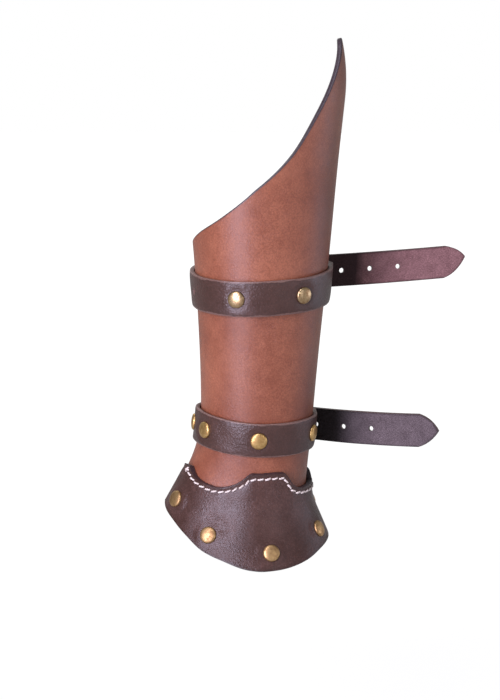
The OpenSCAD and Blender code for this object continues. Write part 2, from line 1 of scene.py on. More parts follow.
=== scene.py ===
# %% [markdown]
# # A leather bracer, step by step
# This bracer is a stiff chestnut cuff, two dark straps that are riveted round it and buckled
# behind, and a studded guard that flares at its lower end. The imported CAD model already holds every
# part at its real size and place, so the lesson begins by loading it. Later cells replace the plain
# leather solids by formed ones and give each part its finish.

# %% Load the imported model
from math import acos, asin, atan2, cos, degrees, exp, hypot, pi, radians, sin, sqrt
import bpy
from mathutils import Matrix, Vector


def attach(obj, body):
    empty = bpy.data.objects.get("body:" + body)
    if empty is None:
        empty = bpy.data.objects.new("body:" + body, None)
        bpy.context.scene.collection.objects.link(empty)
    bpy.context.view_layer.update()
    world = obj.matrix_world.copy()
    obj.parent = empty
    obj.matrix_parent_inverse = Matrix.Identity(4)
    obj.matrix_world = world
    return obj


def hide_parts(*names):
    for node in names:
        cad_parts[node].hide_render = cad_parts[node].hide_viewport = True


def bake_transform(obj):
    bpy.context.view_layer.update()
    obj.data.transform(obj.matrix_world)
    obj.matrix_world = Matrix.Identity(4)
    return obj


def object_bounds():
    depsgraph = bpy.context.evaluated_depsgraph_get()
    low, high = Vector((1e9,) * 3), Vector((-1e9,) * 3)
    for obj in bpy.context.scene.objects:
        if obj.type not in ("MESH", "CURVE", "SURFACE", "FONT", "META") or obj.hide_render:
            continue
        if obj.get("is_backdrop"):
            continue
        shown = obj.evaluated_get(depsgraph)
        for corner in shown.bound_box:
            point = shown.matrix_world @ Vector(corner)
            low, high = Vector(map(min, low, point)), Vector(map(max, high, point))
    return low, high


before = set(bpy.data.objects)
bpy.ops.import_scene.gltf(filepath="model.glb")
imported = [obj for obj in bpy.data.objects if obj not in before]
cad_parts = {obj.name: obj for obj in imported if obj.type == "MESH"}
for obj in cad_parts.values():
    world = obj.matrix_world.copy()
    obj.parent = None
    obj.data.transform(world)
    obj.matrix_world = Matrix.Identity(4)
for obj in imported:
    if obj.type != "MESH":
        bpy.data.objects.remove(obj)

cad_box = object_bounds()
print("size of the bracer in mm:", [round((b - a) * 1000, 1) for a, b in zip(*cad_box)])

# %% [markdown]
# ## Helpers for selecting and finishing
# Blender's operators act on whatever is selected, and loading leaves every part selected. So each
# step first clears the selection and picks its own piece. Lengths are worked out in millimetres,
# as on a leather worker's bench, and turned to metres when they reach the mesh.

# %% Select one thing at a time
MM = 0.001


def select_only(*objects):
    if bpy.context.mode != "OBJECT":
        bpy.ops.object.mode_set(mode="OBJECT")
    bpy.ops.object.select_all(action="DESELECT")
    for thing in objects:
        thing.select_set(True)
    bpy.context.view_layer.objects.active = objects[0] if objects else None


def apply_modifiers(piece):
    select_only(piece)
    for modifier in list(piece.modifiers):
        bpy.ops.object.modifier_apply(modifier=modifier.name)


def smooth(piece, angle=35):
    select_only(piece)
    bpy.ops.object.shade_smooth_by_angle(angle=radians(angle))


def join(name, pieces):
    select_only(*pieces)
    bpy.ops.object.join()
    piece = bpy.context.object
    piece.name = piece.data.name = name
    return piece


select_only()
print("selected:", len(bpy.context.selected_objects))

# %% [markdown]
# ## The shape under the leather
# A leather worker forms a bracer wet, over a wooden last. Here the last is a formula: a section
# made of quarter ellipses whose half sizes change with height, flared at the lower end. It is the
# same formula, with the same numbers, as the CAD part's, so the formed leather lands exactly where
# the plain solids are. Angles start at the front. They are positive on the side where the cuff
# rises to its tip, and negative on its low side.

# %% The last: a point on it at an angle and a height
TIP_H, LOW_H, LOWER_RISE = 275.0, 157.0, 13.0
CUFF_T, STRAP_T, STRAP_W, GUARD_T = 3.0, 2.6, 20.5, 3.0
# half sizes: one for all heights, or a first at the lower opening and a second at the tip
LOW_SIDE, TIP_SIDE, DEPTH = 32.3, (29.9, 55.9), (28, 46.7)
BOW_FROM, BOW_R, CURL_TALL, CURL_R = 60, 1060, 35, 111
# each flare: the height that it starts below, and its radius
LOW_SIDE_FLARE, TIP_SIDE_FLARE, DEPTH_FLARE, FLARE_SLOPE = (55, 70), (16, 40), (22, 77), 0.52
BEHIND = 180.0


def mix(a, b, k):
    return a + (b - a) * k


def held(x, low, high):
    return min(max(x, low), high)


def ease(k):
    k = held(k, 0.0, 1.0)
    return k * k * (3 - 2 * k)


def flare(z, height, radius):
    """How far the last has widened at z: an arc at first, and then a straight slope."""
    down, limit = max(height - z, 0.0), radius * FLARE_SLOPE
    curved = min(down, limit)
    return curved**2 / (2 * radius) + (down - curved) * FLARE_SLOPE


def half_low_side(z):
    bow = max(z - BOW_FROM, 0.0) ** 2 / (2 * BOW_R)
    return LOW_SIDE + bow + flare(z, *LOW_SIDE_FLARE)


def half_tip_side(z):
    curl = max(z - TIP_H + CURL_TALL, 0.0) ** 2 / (2 * CURL_R)
    return mix(*TIP_SIDE, z / TIP_H) - curl + flare(z, *TIP_SIDE_FLARE)


def half_depth(z):
    return mix(*DEPTH, z / TIP_H) + flare(z, *DEPTH_FLARE)


def skin(a, z, off=0.0):
    """The point at angle a and height z, off millimetres outside the last."""
    s, c = sin(radians(a)), cos(radians(a))
    wide = half_low_side(z) if s < 0 else half_tip_side(z)
    return Vector(((wide + off) * s, -(half_depth(z) + off) * c, z))


def along(a, z):
    return (skin(a + 0.5, z) - skin(a - 0.5, z)).normalized()


def upward(a, z):
    return (skin(a, z + 0.5) - skin(a, z - 0.5)).normalized()


def outward(a, z):
    return along(a, z).cross(upward(a, z)).normalized()


HALVES = (half_low_side, half_tip_side, half_depth)
print("lower opening, half sizes:", [round(half(0), 1) for half in HALVES])

# %% [markdown]
# ## Drawing an outline
# The cuff's and the guard's edges are free curves. A curve object could hold them, but it can't be
# asked for its height at an angle. So each edge is a short list of points, and a function draws a
# smooth curve through all of them, as a bent spline would.

# %% A smooth line through points
def slope_at(line, i):
    a, b = line[max(i - 1, 0)], line[min(i + 1, len(line) - 1)]
    return (b[1] - a[1]) / (b[0] - a[0])


def smooth_line(line, x):
    i = 0
    while i < len(line) - 2 and x >= line[i + 1][0]:
        i += 1
    (x0, y0), (x1, y1) = line[i], line[i + 1]
    h = x1 - x0
    t = held((x - x0) / h, 0.0, 1.0)
    return (y0 * (2 * t**3 - 3 * t**2 + 1) + slope_at(line, i) * h * (t**3 - 2 * t**2 + t)
            + y1 * (3 * t**2 - 2 * t**3) + slope_at(line, i + 1) * h * (t**3 - t**2))


print("half way between two points:", smooth_line([(0, 0), (1, 1), (2, 0)], 0.5))

# %% [markdown]
# ## From flat leather to formed leather
# Real leather starts as a flat hide. So each leather part starts as a flat grid, and every point
# of the grid is moved to its place on the last. Sculpting could do the same by eye, but a formula
# keeps the part at its measured size. The grid's own flat map is kept in millimetres of leather,
# so that grain and creases run along the strap as they do on a real one. A Solidify modifier then
# gives the hide its thickness, with its own finish for the flesh side and for the cut edge, and a
# small Bevel rounds the cut edges as an edge tool does.

# %% A formed sheet
def formed_sheet(name, columns, rows, place, flat, from_edge):
    """A grid whose point at (u, v), both 0 to 1, goes to place(u, v). Its flat map is flat(u, v),
    and from_edge(u, v) is the distance to the cut edge. All three are in millimetres."""
    select_only()
    bpy.ops.mesh.primitive_grid_add(x_subdivisions=columns, y_subdivisions=rows, size=2)
    sheet = bpy.context.object
    sheet.name = sheet.data.name = name
    mesh = sheet.data
    spots = [((v.co.x + 1) / 2, (v.co.y + 1) / 2) for v in mesh.vertices]
    mesh.uv_layers[0].name = "leather"
    for loop in mesh.loops:
        mesh.uv_layers[0].data[loop.index].uv = [d * MM for d in flat(*spots[loop.vertex_index])]
    edge = mesh.attributes.new("from_edge", "FLOAT", "POINT")
    for vertex, (u, v) in zip(mesh.vertices, spots):
        edge.data[vertex.index].value = max(from_edge(u, v), 0.0)
        vertex.co = Vector(place(u, v)) * MM
    mesh.update()
    return sheet


print("sheets start flat and end formed")

# %% Thickness and rounded cut edge
GRAIN_SLOT, FLESH_SLOT, EDGE_SLOT = 0, 1, 2


def give_thickness(sheet, thickness, edge_round, grain, flesh, edge):
    for finish in (grain, flesh, edge):
        sheet.data.materials.append(finish)
    solid = sheet.modifiers.new("thickness", "SOLIDIFY")
    solid.thickness, solid.offset, solid.use_even_offset = thickness * MM, -1, True
    solid.material_offset, solid.material_offset_rim = FLESH_SLOT, EDGE_SLOT
    bevel = sheet.modifiers.new("rounded edge", "BEVEL")
    bevel.width, bevel.segments, bevel.limit_method = edge_round * MM, 3, "ANGLE"
    bevel.angle_limit, bevel.material = radians(50), EDGE_SLOT
    apply_modifiers(sheet)


print("a sheet's finishes:", {"grain": GRAIN_SLOT, "flesh": FLESH_SLOT, "edge": EDGE_SLOT})

# %% Holes
HOLE_REACH, HOLE_SHARE, HOLE_RIM, FAR_AWAY = 2.5, 0.95, 1.0, 99.0


def pick_faces(piece, wanted):
    """Goes to edit mode with only the wanted faces selected."""
    select_only(piece)
    bpy.ops.object.mode_set(mode="EDIT")
    bpy.ops.mesh.select_mode(type="FACE")
    bpy.ops.mesh.select_all(action="DESELECT")
    bpy.ops.object.mode_set(mode="OBJECT")
    for face in piece.data.polygons:
        face.select = wanted(face)
    bpy.ops.object.mode_set(mode="EDIT")


def open_hole(sheet, centre, run, across, radius, half_slot=0.0):
    """Takes the faces of a hole out of a sheet and rounds its border. half_slot draws the hole out
    along run. The hole gets its walls with the sheet's thickness, and its lips with the bevel."""
    def from_middle(point):
        away = point / MM - centre
        p, q = away.dot(run), away.dot(across)
        s = held(p, -half_slot, half_slot)
        near = abs(away.dot(run.cross(across))) < HOLE_REACH
        return p, q, s, hypot(p - s, q) if near else FAR_AWAY

    mesh = sheet.data
    pick_faces(sheet, lambda face: from_middle(face.center)[3] < radius * HOLE_SHARE)
    bpy.ops.mesh.delete(type="FACE")
    bpy.ops.mesh.select_mode(type="VERT")
    bpy.ops.mesh.select_non_manifold()
    bpy.ops.object.mode_set(mode="OBJECT")
    for vertex in mesh.vertices:
        p, q, s, d = from_middle(vertex.co)
        if vertex.select and d < radius + HOLE_RIM:
            vertex.co += (run * (p - s) + across * q) * (radius / d - 1) * MM


print("holes reach", HOLE_REACH, "mm through the leather")

# %% [markdown]
# ## Setting up the camera
# The photograph was taken from a little above the guard, about 0.9 m away, with a long lens. The
# camera repeats that.

# %% Camera
CAMERA_PLACE, LOOKS_DOWN, LENS = (-0.0027, -0.8889, 0.2328), 9, 108.29
bpy.ops.object.camera_add(location=CAMERA_PLACE, rotation=(radians(90 - LOOKS_DOWN), 0, 0))
camera = bpy.context.object
camera.name = "camera"
camera.data.sensor_fit, camera.data.sensor_width, camera.data.lens = "HORIZONTAL", 36, LENS
bpy.context.scene.camera = camera
print("camera looks down by", LOOKS_DOWN, "degrees through a", round(LENS), "mm lens")

# %% [markdown]
# ## Mixing a finish
# Each finish is a small tree of nodes. These helpers add a node, wire it up, and blend two
# colours, so that every finish below reads as a recipe. Patterns are measured in metres: a noise
# of scale 1000 has spots about 1 mm across.

# %% Helpers for finishes
# where a Mix node keeps its amount and two colours among its inputs, and the blend in its outputs
MIX_SOCKETS, MIX_RESULT = (0, 6, 7), 2


class Recipe:
    """A new material or world, and short ways to add the nodes in front of its shader."""

    def __init__(self, name, shelf=bpy.data.materials, shader="Principled BSDF"):
        self.made = shelf.new(name)
        self.made.use_nodes = True
        self.tree = self.made.node_tree
        self.shader = self.tree.nodes[shader]

    def feed(self, socket, value):
        """Wires an output to a socket, or sets the socket to a number, a place or a colour."""
        if hasattr(value, "is_output"):
            self.tree.links.new(value, socket)
        else:
            socket.default_value = (*value, 1) if socket.type == "RGBA" else value

    def feed_all(self, sockets, values):
        for socket, value in zip(sockets, values):
            self.feed(socket, value)

    def add(self, kind, **inputs):
        node = self.tree.nodes.new("ShaderNode" + kind)
        for key, value in inputs.items():
            name = key.replace("_", " ")
            if name in node.inputs:
                self.feed(node.inputs[name], value)
            else:
                setattr(node, key, value)
        return node

    def sheet_place(self):
        return self.add("UVMap", uv_map="leather").outputs["UV"]

    def solid_place(self):
        return self.add("TexCoord").outputs["Object"]

    def stretched(self, place, scale):
        return self.add("Mapping", Vector=place, Scale=scale).outputs["Vector"]

    def edge_distance(self):
        return self.add("Attribute", attribute_name="from_edge").outputs["Fac"]

    def noise(self, place, scale, detail=4.0, roughness=0.5):
        node = self.add("TexNoise", Vector=place, Scale=scale, Detail=detail, Roughness=roughness)
        return node.outputs["Fac"]

    def math(self, operation, a, b=0.0):
        node = self.add("Math", operation=operation)
        self.feed_all(node.inputs, (a, b))
        return node.outputs[0]

    def plus(self, a, b):
        return self.math("ADD", a, b)

    def times(self, a, b):
        return self.math("MULTIPLY", a, b)

    def spread(self, value, low, high, to_low=0.0, to_high=1.0):
        """Maps low..high to to_low..to_high, and holds the ends."""
        node = self.add("MapRange")
        self.feed_all(node.inputs, (value, low, high, to_low, to_high))
        return node.outputs["Result"]

    def colours(self, amount, first, second):
        """Goes from the first colour to the second as amount goes from 0 to 1."""
        node = self.add("Mix", data_type="RGBA")
        self.feed_all([node.inputs[i] for i in MIX_SOCKETS], (amount, first, second))
        return node.outputs[MIX_RESULT]

    def bump(self, height, depth, strength=1.0, under=None):
        """Bumps depth millimetres high, on top of the coarser ones given as under."""
        node = self.add("Bump", Height=height, Distance=depth * MM, Strength=strength)
        if under:
            self.feed(node.inputs["Normal"], under)
        return node.outputs["Normal"]

    def set(self, **inputs):
        for key, value in inputs.items():
            self.feed(self.shader.inputs[key.replace("_", " ")], value)
        return self.made


print("recipes are mixed in front of one shader each")

# %% [markdown]
# ## Leather, grain side out
# Vegetable-tanned leather is dyed unevenly, a little darker where it was handled and burnished,
# and its surface is broken into soft pebbles a millimetre across, with finer pores on them. A flat
# brown with one noise would look like plastic. So the colour is blended from broad clouds, finer
# mottling and pores, the edge is darkened by its distance from the cut, and the pebbles are low
# domes, stronger in some places than in others. Fine creases cross them where the hide was bent.
# Each leather part gets its own tones and grain from this one recipe.

# %% The grain side of a hide
WANDER, PORE_H = 1.1, 0.14


def darker(colour, share):
    return tuple(share * c for c in colour)


def grain_leather(name, deep, middle, pale, pebble, depth, creases, roughness, on_sheet=True,
                  worn=0.0, shine=0.5, rubbed=None):
    """pebble is the size of the pebbles, depth their height and creases the creases' depth, in
    millimetres. worn is how pale the specks are rubbed, and rubbed the colour of the bared edge."""
    hide = Recipe(name)
    place = hide.sheet_place() if on_sheet else hide.solid_place()
    edge = hide.edge_distance()

    clouds, mottle = hide.noise(place, 24, 3), hide.noise(place, 150, 6, 0.62)
    speck = hide.noise(place, 1000, 4, 0.65)
    tone = hide.plus(hide.times(clouds, 0.47), hide.times(mottle, 0.25))
    tone = hide.plus(tone, hide.times(speck, 0.28))
    colour = hide.colours(hide.spread(tone, 0.41, 0.59), deep, pale)
    colour = hide.colours(0.35, colour, middle)

    wander = hide.add("TexNoise", Vector=place, Scale=420.0, Detail=2.0).outputs["Color"]
    uneven = hide.add("VectorMath", operation="MULTIPLY_ADD")
    hide.feed_all(uneven.inputs, (wander, (WANDER * MM,) * 3, place))
    domes = hide.add("TexVoronoi", Vector=uneven.outputs[0], Scale=1000 / pebble,
                     feature="SMOOTH_F1", Smoothness=0.75)
    raised = hide.spread(domes.outputs["Distance"], 0.10, 0.62, 1.0, 0.0)
    raised = hide.times(raised, hide.spread(hide.noise(place, 45, 3), 0.36, 0.62, 0.35, 1.0))
    pores = hide.noise(place, 1500 / pebble, 7, 0.62)

    # painted shade: darker where the pebbled surface is low, in the hollows between the pebbles
    colour = hide.colours(hide.spread(raised, 0.0, 0.5, 0.30, 0.0), colour, darker(deep, 0.55))
    burnish = hide.plus(edge, hide.times(mottle, 1.2))
    colour = hide.colours(hide.spread(burnish, 0.8, 2.4, 0.55, 0.0), colour, darker(deep, 0.5))
    if rubbed:
        bare = hide.plus(edge, hide.times(hide.plus(mottle, -0.5), 3.0))
        colour = hide.colours(hide.spread(bare, 0.75, 1.15, 0.85, 0.0), colour, rubbed)
    if worn:
        specks = hide.times(hide.spread(speck, 0.58, 0.70), worn)
        colour = hide.colours(specks, colour, pale)

    fold = hide.plus(hide.noise(hide.stretched(place, (0.35, 1.0, 2.2)), 520, 3, 0.5), -0.5)
    fold = hide.spread(hide.math("ABSOLUTE", fold), 0.0, 0.05)
    creased = hide.spread(hide.noise(place, 30, 2), 0.50, 0.64)
    fold = hide.plus(hide.times(fold, creased), hide.math("SUBTRACT", 1.0, creased))
    normal = hide.bump(fold, creases)
    normal = hide.bump(raised, depth, 1.0, normal)
    normal = hide.bump(pores, PORE_H, 1.0, normal)
    rough = hide.plus(hide.spread(mottle, 0.3, 0.7, -0.05, 0.07), roughness)
    return hide.set(Base_Color=colour, Roughness=rough, Normal=normal, Specular_IOR_Level=shine)


cuff_leather = grain_leather(
    "chestnut cuff leather", (0.186, 0.050, 0.023), (0.29, 0.094, 0.044), (0.38, 0.140, 0.071),
    pebble=0.9, depth=0.04, creases=0.05, roughness=0.41, on_sheet=False)
strap_leather = grain_leather(
    "dark strap leather", (0.039, 0.015, 0.009), (0.058, 0.023, 0.015), (0.083, 0.037, 0.027),
    pebble=1.25, depth=0.12, creases=0.06, roughness=0.36, rubbed=(0.165, 0.092, 0.070))
guard_leather = grain_leather(
    "dark guard leather", (0.044, 0.019, 0.013), (0.070, 0.032, 0.024), (0.110, 0.056, 0.044),
    pebble=1.25, depth=0.09, creases=0.08, roughness=0.34, on_sheet=False, worn=0.35, shine=0.33)
print("grain sides:", cuff_leather.name, strap_leather.name, guard_leather.name)

# %% [markdown]
# ## Leather, flesh side and cut edge
# The flesh side is a short suede nap: matt, fuzzy and blotchy, with no pebbles. On the tails a
# painted shadow makes it almost black near the buckle, where the cuff shades them. The cut edge is
# the hide's own section. On the cuff and the guard it is dyed almost black and burnished smooth. On
# the tails it is a dark red brown, and round the strap bands the dye has worn off to a paler brown.
# One finish for the whole sheet would lose all this, so each side and edge has a finish of its own.

# %% Suede and cut edges
def flesh_side(name, deep, pale, on_sheet=True, painted_shadow=None, roughness=0.8):
    """A painted shadow near the buckle: how far along the strap it reaches, and its fade, in
    millimetres.
    """
    nap = Recipe(name)
    place = nap.sheet_place() if on_sheet else nap.solid_place()
    blotch = nap.noise(place, 130, 6, 0.7)
    fibre = nap.noise(nap.stretched(place, (0.8, 1.8, 1.0)), 1000, 5, 0.7)
    tone = nap.plus(nap.times(blotch, 0.35), nap.times(fibre, 0.65))
    colour = nap.colours(nap.spread(tone, 0.38, 0.62), deep, pale)
    rim = nap.spread(nap.plus(nap.edge_distance(), blotch), 0.6, 1.9, 0.7, 0.0)
    colour = nap.colours(rim, colour, darker(deep, 0.35))
    if painted_shadow:
        reach, fade = painted_shadow
        run = nap.add("SeparateXYZ", Vector=place).outputs["X"]
        # painted shadow: near black up to reach along the tail, where the cuff shades it
        waxed = nap.spread(run, (reach - fade) * MM, (reach + fade) * MM, 0.92, 0.0)
        colour = nap.colours(waxed, colour, darker(deep, 0.15))
    normal = nap.bump(blotch, 0.2, 0.6)
    normal = nap.bump(fibre, 0.4, 1.0, normal)
    return nap.set(Base_Color=colour, Roughness=roughness, Normal=normal, Sheen_Weight=0.08,
                   Sheen_Roughness=0.5, Specular_IOR_Level=0.25)


def cut_edge(name, dark, light, roughness=0.38):
    edge = Recipe(name)
    place = edge.solid_place()
    streak = edge.noise(edge.stretched(place, (1.0, 1.0, 3.0)), 900, 5, 0.6)
    colour = edge.colours(edge.spread(streak, 0.35, 0.65), dark, light)
    normal = edge.bump(streak, 0.10, 0.7)
    return edge.set(Base_Color=colour, Roughness=roughness, Normal=normal)


cuff_inside = flesh_side("cuff flesh side", (0.16, 0.085, 0.055), (0.27, 0.155, 0.105), False)
strap_inside = flesh_side("strap flesh side", (0.115, 0.060, 0.062), (0.20, 0.115, 0.12))
guard_inside = flesh_side("guard flesh side", (0.10, 0.060, 0.052), (0.17, 0.105, 0.09), False)
dark_edge = cut_edge("burnished dark edge", (0.022, 0.014, 0.017), (0.050, 0.034, 0.040))
tail_edge = cut_edge("burnished tail edge", (0.060, 0.026, 0.024), (0.130, 0.062, 0.056), 0.42)
strap_edge = cut_edge("worn strap edge", (0.110, 0.064, 0.050), (0.235, 0.145, 0.115), 0.45)
print("flesh sides and cut edges mixed")

# %% [markdown]
# ## Brass and thread
# The caps are pressed from brass sheet and the buckles bent from brass wire. Worn brass isn't a
# mirror: it has a brownish film in the low places, small dents and fine scratches. The thread is
# a waxed cream linen, twisted from plies, so its bumps wind round it.

# %% Metal and thread
def worn_brass(name, bright, tarnish, roughness, dent):
    brass = Recipe(name)
    place = brass.solid_place()
    film = brass.noise(place, 420, 5, 0.6)
    colour = brass.colours(brass.spread(film, 0.38, 0.66), bright, tarnish)
    dents = brass.noise(place, 260, 1)
    scratch = brass.noise(brass.stretched(place, (1.0, 1.0, 6.0)), 2200, 3)
    normal = brass.bump(dents, dent, 0.8)
    normal = brass.bump(scratch, 0.02, 0.5, normal)
    rough = brass.spread(film, 0.3, 0.7, roughness - 0.06, roughness + 0.14)
    return brass.set(Base_Color=colour, Metallic=1.0, Roughness=rough, Normal=normal)


cap_brass = worn_brass("guard rivet brass", (0.50, 0.33, 0.15), (0.26, 0.15, 0.068), 0.42, 0.15)
strap_brass = worn_brass("lower rivet brass", (0.64, 0.43, 0.17), (0.38, 0.22, 0.078), 0.34, 0.15)
pale_brass = worn_brass("upper rivet brass", (0.47, 0.35, 0.19), (0.27, 0.16, 0.075), 0.29, 0.10)
buckle_brass = worn_brass("buckle brass", (0.70, 0.46, 0.21), (0.42, 0.25, 0.11), 0.26, 0.25)


def waxed_linen(name, clean, soiled):
    linen = Recipe(name)
    place = linen.solid_place()
    ply = linen.add("TexWave", Vector=place, Scale=900.0, Distortion=1.5).outputs["Fac"]
    soil = linen.spread(linen.noise(place, 500, 4), 0.4, 0.7)
    return linen.set(Base_Color=linen.colours(soil, clean, soiled), Roughness=0.55,
                     Normal=linen.bump(ply, 0.08, 0.7))


waxed_thread = waxed_linen("waxed cream thread", (0.86, 0.79, 0.70), (0.60, 0.50, 0.41))
print("metal and thread mixed")

# %% [markdown]
# ## The cuff
# The cuff is one hide wrapped nearly all the way round, open by a slit behind. Its upper edge
# climbs in a long diagonal to a blunt tip. A cylinder cut by a plane would miss the bow of its
# sides and the curl of the tip, so the sheet is laid on the last between the two outlines, with
# more columns near the tip, where the outline turns.

# %% Cuff outline
CUFF_FROM, CUFF_TO = -159.0, 175.0
# (angle, share of the way up from the low side to the tip)
CUFF_TOP = [(-159, -0.05), (-120, -0.04), (-90, 0), (-60, 0.06), (-30, 0.14), (0, 0.27),
            (25, 0.435), (45, 0.645), (62, 0.835), (74, 0.945), (83, 1), (92, 0.965), (108, 0.83),
            (130, 0.57), (153, 0.34), (175, 0.22)]
# (angle, share of the lower edge's rise)
CUFF_LOW = [(-159, 0.92), (-120, 1), (-90, 1), (-63, 0.77), (-30, 0.23), (0, 0.23), (45, 0),
            (90, 0), (130, 0.08), (175, 0.15)]


def cuff_top(a):
    return mix(LOW_H, TIP_H, smooth_line(CUFF_TOP, a))


def cuff_low(a):
    return LOWER_RISE * smooth_line(CUFF_LOW, a)


print("tip at", round(cuff_top(83), 1), "mm, low side at", round(cuff_top(-90), 1), "mm")

# %% Cuff sheet
CUFF_COLUMNS, CUFF_ROWS, CUFF_ROUND, CUFF_RIPPLE, CUFF_EDGE_R = 210, 130, 250, 0.18, 0.75
CUFF_SPREAD = [(0, CUFF_FROM), (0.42, -10), (0.60, 45), (0.76, 106), (1, CUFF_TO)]
MM_PER_DEGREE = 0.6


def cuff_spot(u, v):
    a = smooth_line(CUFF_SPREAD, u)
    return a, mix(cuff_low(a), cuff_top(a), v)


def cuff_point(u, v):
    a, z = cuff_spot(u, v)
    return skin(a, z, CUFF_RIPPLE * sin(z / 17 + a / 40) * sin(a / 23 + 1.3))


def cuff_flat(u, v):
    return CUFF_FROM + u * CUFF_ROUND, cuff_spot(u, v)[1]


def cuff_edge_distance(u, v):
    a, z = cuff_spot(u, v)
    steep = (cuff_top(a + 1) - cuff_top(a - 1)) / (skin(a + 1, z) - skin(a - 1, z)).length
    return min((cuff_top(a) - z) / sqrt(1 + steep**2), z - cuff_low(a),
               (a - CUFF_FROM) * MM_PER_DEGREE, (CUFF_TO - a) * MM_PER_DEGREE)


cuff = formed_sheet("cuff_body", CUFF_COLUMNS, CUFF_ROWS, cuff_point, cuff_flat, cuff_edge_distance)
give_thickness(cuff, CUFF_T, CUFF_EDGE_R, cuff_leather, cuff_inside, dark_edge)
smooth(cuff)
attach(cuff, "bracer")
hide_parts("cuff")
print("points in the cuff:", len(cuff.data.vertices))

# %% [markdown]
# ## Rivets
# Each rivet is a domed cap with a rolled rim on a post. It is round about its post, so it is drawn
# once as half a section and spun, as a spinner forms it over a chuck. The finished cap is then
# copied to each place, every copy with its own mesh.

# %% One domed cap, spun
CAP_R, DOME_R, DOME_H, RIM_H = 5.0, 4.9, 1.55, 0.55
POST_R, POST_L, SPIN_STEPS = 1.4, 3.0, 48
DOME_AT = [radians(d) for d in (0.01, 8, 17, 27, 38, 49, 59, 68, 76, 82)]
CAP_SECTION = [(DOME_R * sin(t), RIM_H + DOME_H * cos(t) ** 0.8) for t in DOME_AT]
CAP_SECTION += [(4.93, 0.60), (CAP_R, 0.42), (CAP_R, 0.26), (4.93, 0.09), (4.8, 0.0), (3.0, 0.0)]
CAP_SECTION += [(POST_R, 0.02), (POST_R, -POST_L)]


def spun(name, section):
    """Draws the half section point by point, then spins it round the Z axis and closes it."""
    select_only()
    bpy.ops.mesh.primitive_plane_add(size=1)
    shape = bpy.context.object
    shape.name = shape.data.name = name
    bpy.ops.object.mode_set(mode="EDIT")
    bpy.ops.mesh.merge(type="CENTER")
    bpy.ops.transform.translate(value=(section[0][0] * MM, 0, section[0][1] * MM))
    for (r0, h0), (r1, h1) in zip(section, section[1:]):
        step = ((r1 - r0) * MM, 0, (h1 - h0) * MM)
        bpy.ops.mesh.extrude_vertices_move(TRANSFORM_OT_translate={"value": step})
    bpy.ops.mesh.select_all(action="SELECT")
    bpy.ops.mesh.spin(steps=SPIN_STEPS, angle=2 * pi, axis=(0, 0, 1), center=(0, 0, 0))
    bpy.ops.mesh.select_all(action="SELECT")
    bpy.ops.mesh.remove_doubles(threshold=0.00001)
    bpy.ops.mesh.normals_make_consistent(inside=False)
    bpy.ops.object.mode_set(mode="OBJECT")
    smooth(shape, 50)
    return shape


domed_cap = spun("domed_cap", CAP_SECTION)
print("faces in a cap:", len(domed_cap.data.polygons))

# %% Setting caps on the leather
CAP_SINK, TURN_BETWEEN = 0.15, 1.7


def facing(a, z, off, turn):
    """Turns and places a shape so that its Z axis points straight out of the leather."""
    n = outward(a, z)
    return (Matrix.Translation((skin(a, z) + n * off) * MM)
            @ Matrix.Rotation(atan2(n.y, n.x), 4, "Z") @ Matrix.Rotation(acos(n.z), 4, "Y")
            @ Matrix.Rotation(turn, 4, "Z"))


def copied(shape, name, matrix):
    """A copy with its own mesh, moved there in the mesh, so that its object stays at the origin."""
    twin = shape.copy()
    twin.data = shape.data.copy()
    twin.name = twin.data.name = name
    bpy.context.scene.collection.objects.link(twin)
    twin.data.transform(matrix)
    return twin


def set_caps(name, rivets, node, brass):
    caps = []
    for i, (a, z, seat) in enumerate(rivets):
        matrix = facing(a, z, seat - CAP_SINK, i * TURN_BETWEEN)
        caps.append(copied(domed_cap, f"{name}_{i}", matrix))
    row = join(name, caps)
    row.data.materials.append(brass)
    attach(row, "bracer")
    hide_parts(node)


print("caps sink into the leather by", CAP_SINK, "mm")

# %% [markdown]
# ## How a rivet presses the leather
# A hammered cap pulls the leather flat under it, and the leather swells a little round it. Without
# that the caps look glued on. This helper takes a point of a sheet and the rivets near it, and
# presses the point to the plane under the nearest cap, less and less with distance.

# %% Pressed leather
FLAT_R, PRESS = 4.9, 0.1
SWELL_R, SWELL_W = 8.0, 2.6


def pressed(point, rivets, reach):
    """The point after the rivets within reach have pressed it to their seats."""
    for a, z, seat in rivets:
        n = outward(a, z)
        away = point - skin(a, z)
        height = away.dot(n)
        near = (away - n * height).length
        if near < reach:
            share = 1 - ease((near - FLAT_R) / (reach - FLAT_R))
            point = point + n * (seat - PRESS - height) * share
    return point


def hump(x, middle, width):
    """A rounded hump from 0 to 1 and back, at x along a line."""
    return exp(-((x - middle) / width) ** 2)


def swell(d):
    """A low ring round a rivet, d from its middle."""
    return hump(d, SWELL_R, SWELL_W)


print("swell beside a cap:", round(swell(7.0), 2))

# %% [markdown]
# ## The guard
# The guard is cut from a stiffer, darker hide, and flares round the lower end of the cuff. Its
# upper edge has two crisp peaks with hollows beside them, and its lower edge is one long sweep. A
# bell of one section would have neither. So the sheet runs from the lower outline to the upper one
# on the flared last, has a soft ridge down its middle, and is pulled into a groove along the seam.

# %% Guard outline
GUARD_RISE, GUARD_HOLLOW, GUARD_DROP = 23.2, 11.2, 30.8
GUARD_GAP, CAP_GAP = 0.35, 0.05
GUARD_OUT = GUARD_GAP + GUARD_T
RIVET_INSET, GUARD_BEND_R = 8, 40
# (angle, share of the hollows' depth, over or under the peaks' height)
GUARD_TOP = [(-79, 0.1), (-70, 0.12), (-64.9, 0.09), (-55.3, -0.25), (-46, -0.51), (-38, -0.65),
             (-30.5, -0.75), (-24, -0.74), (-18.9, -0.66), (-13.9, -0.52), (-9, -0.3),
             (-5.7, -0.1), (-2.2, 0.02), (1, 0.01), (12.7, 0.01), (19.5, 0.03), (28.5, 0),
             (30.4, -0.01), (34.7, -0.26), (39.3, -0.57), (45.1, -0.83), (53.3, -0.97),
             (60.2, -0.99), (68, -1), (76, -1), (92, -0.95), (107, -0.58), (122, -0.45)]
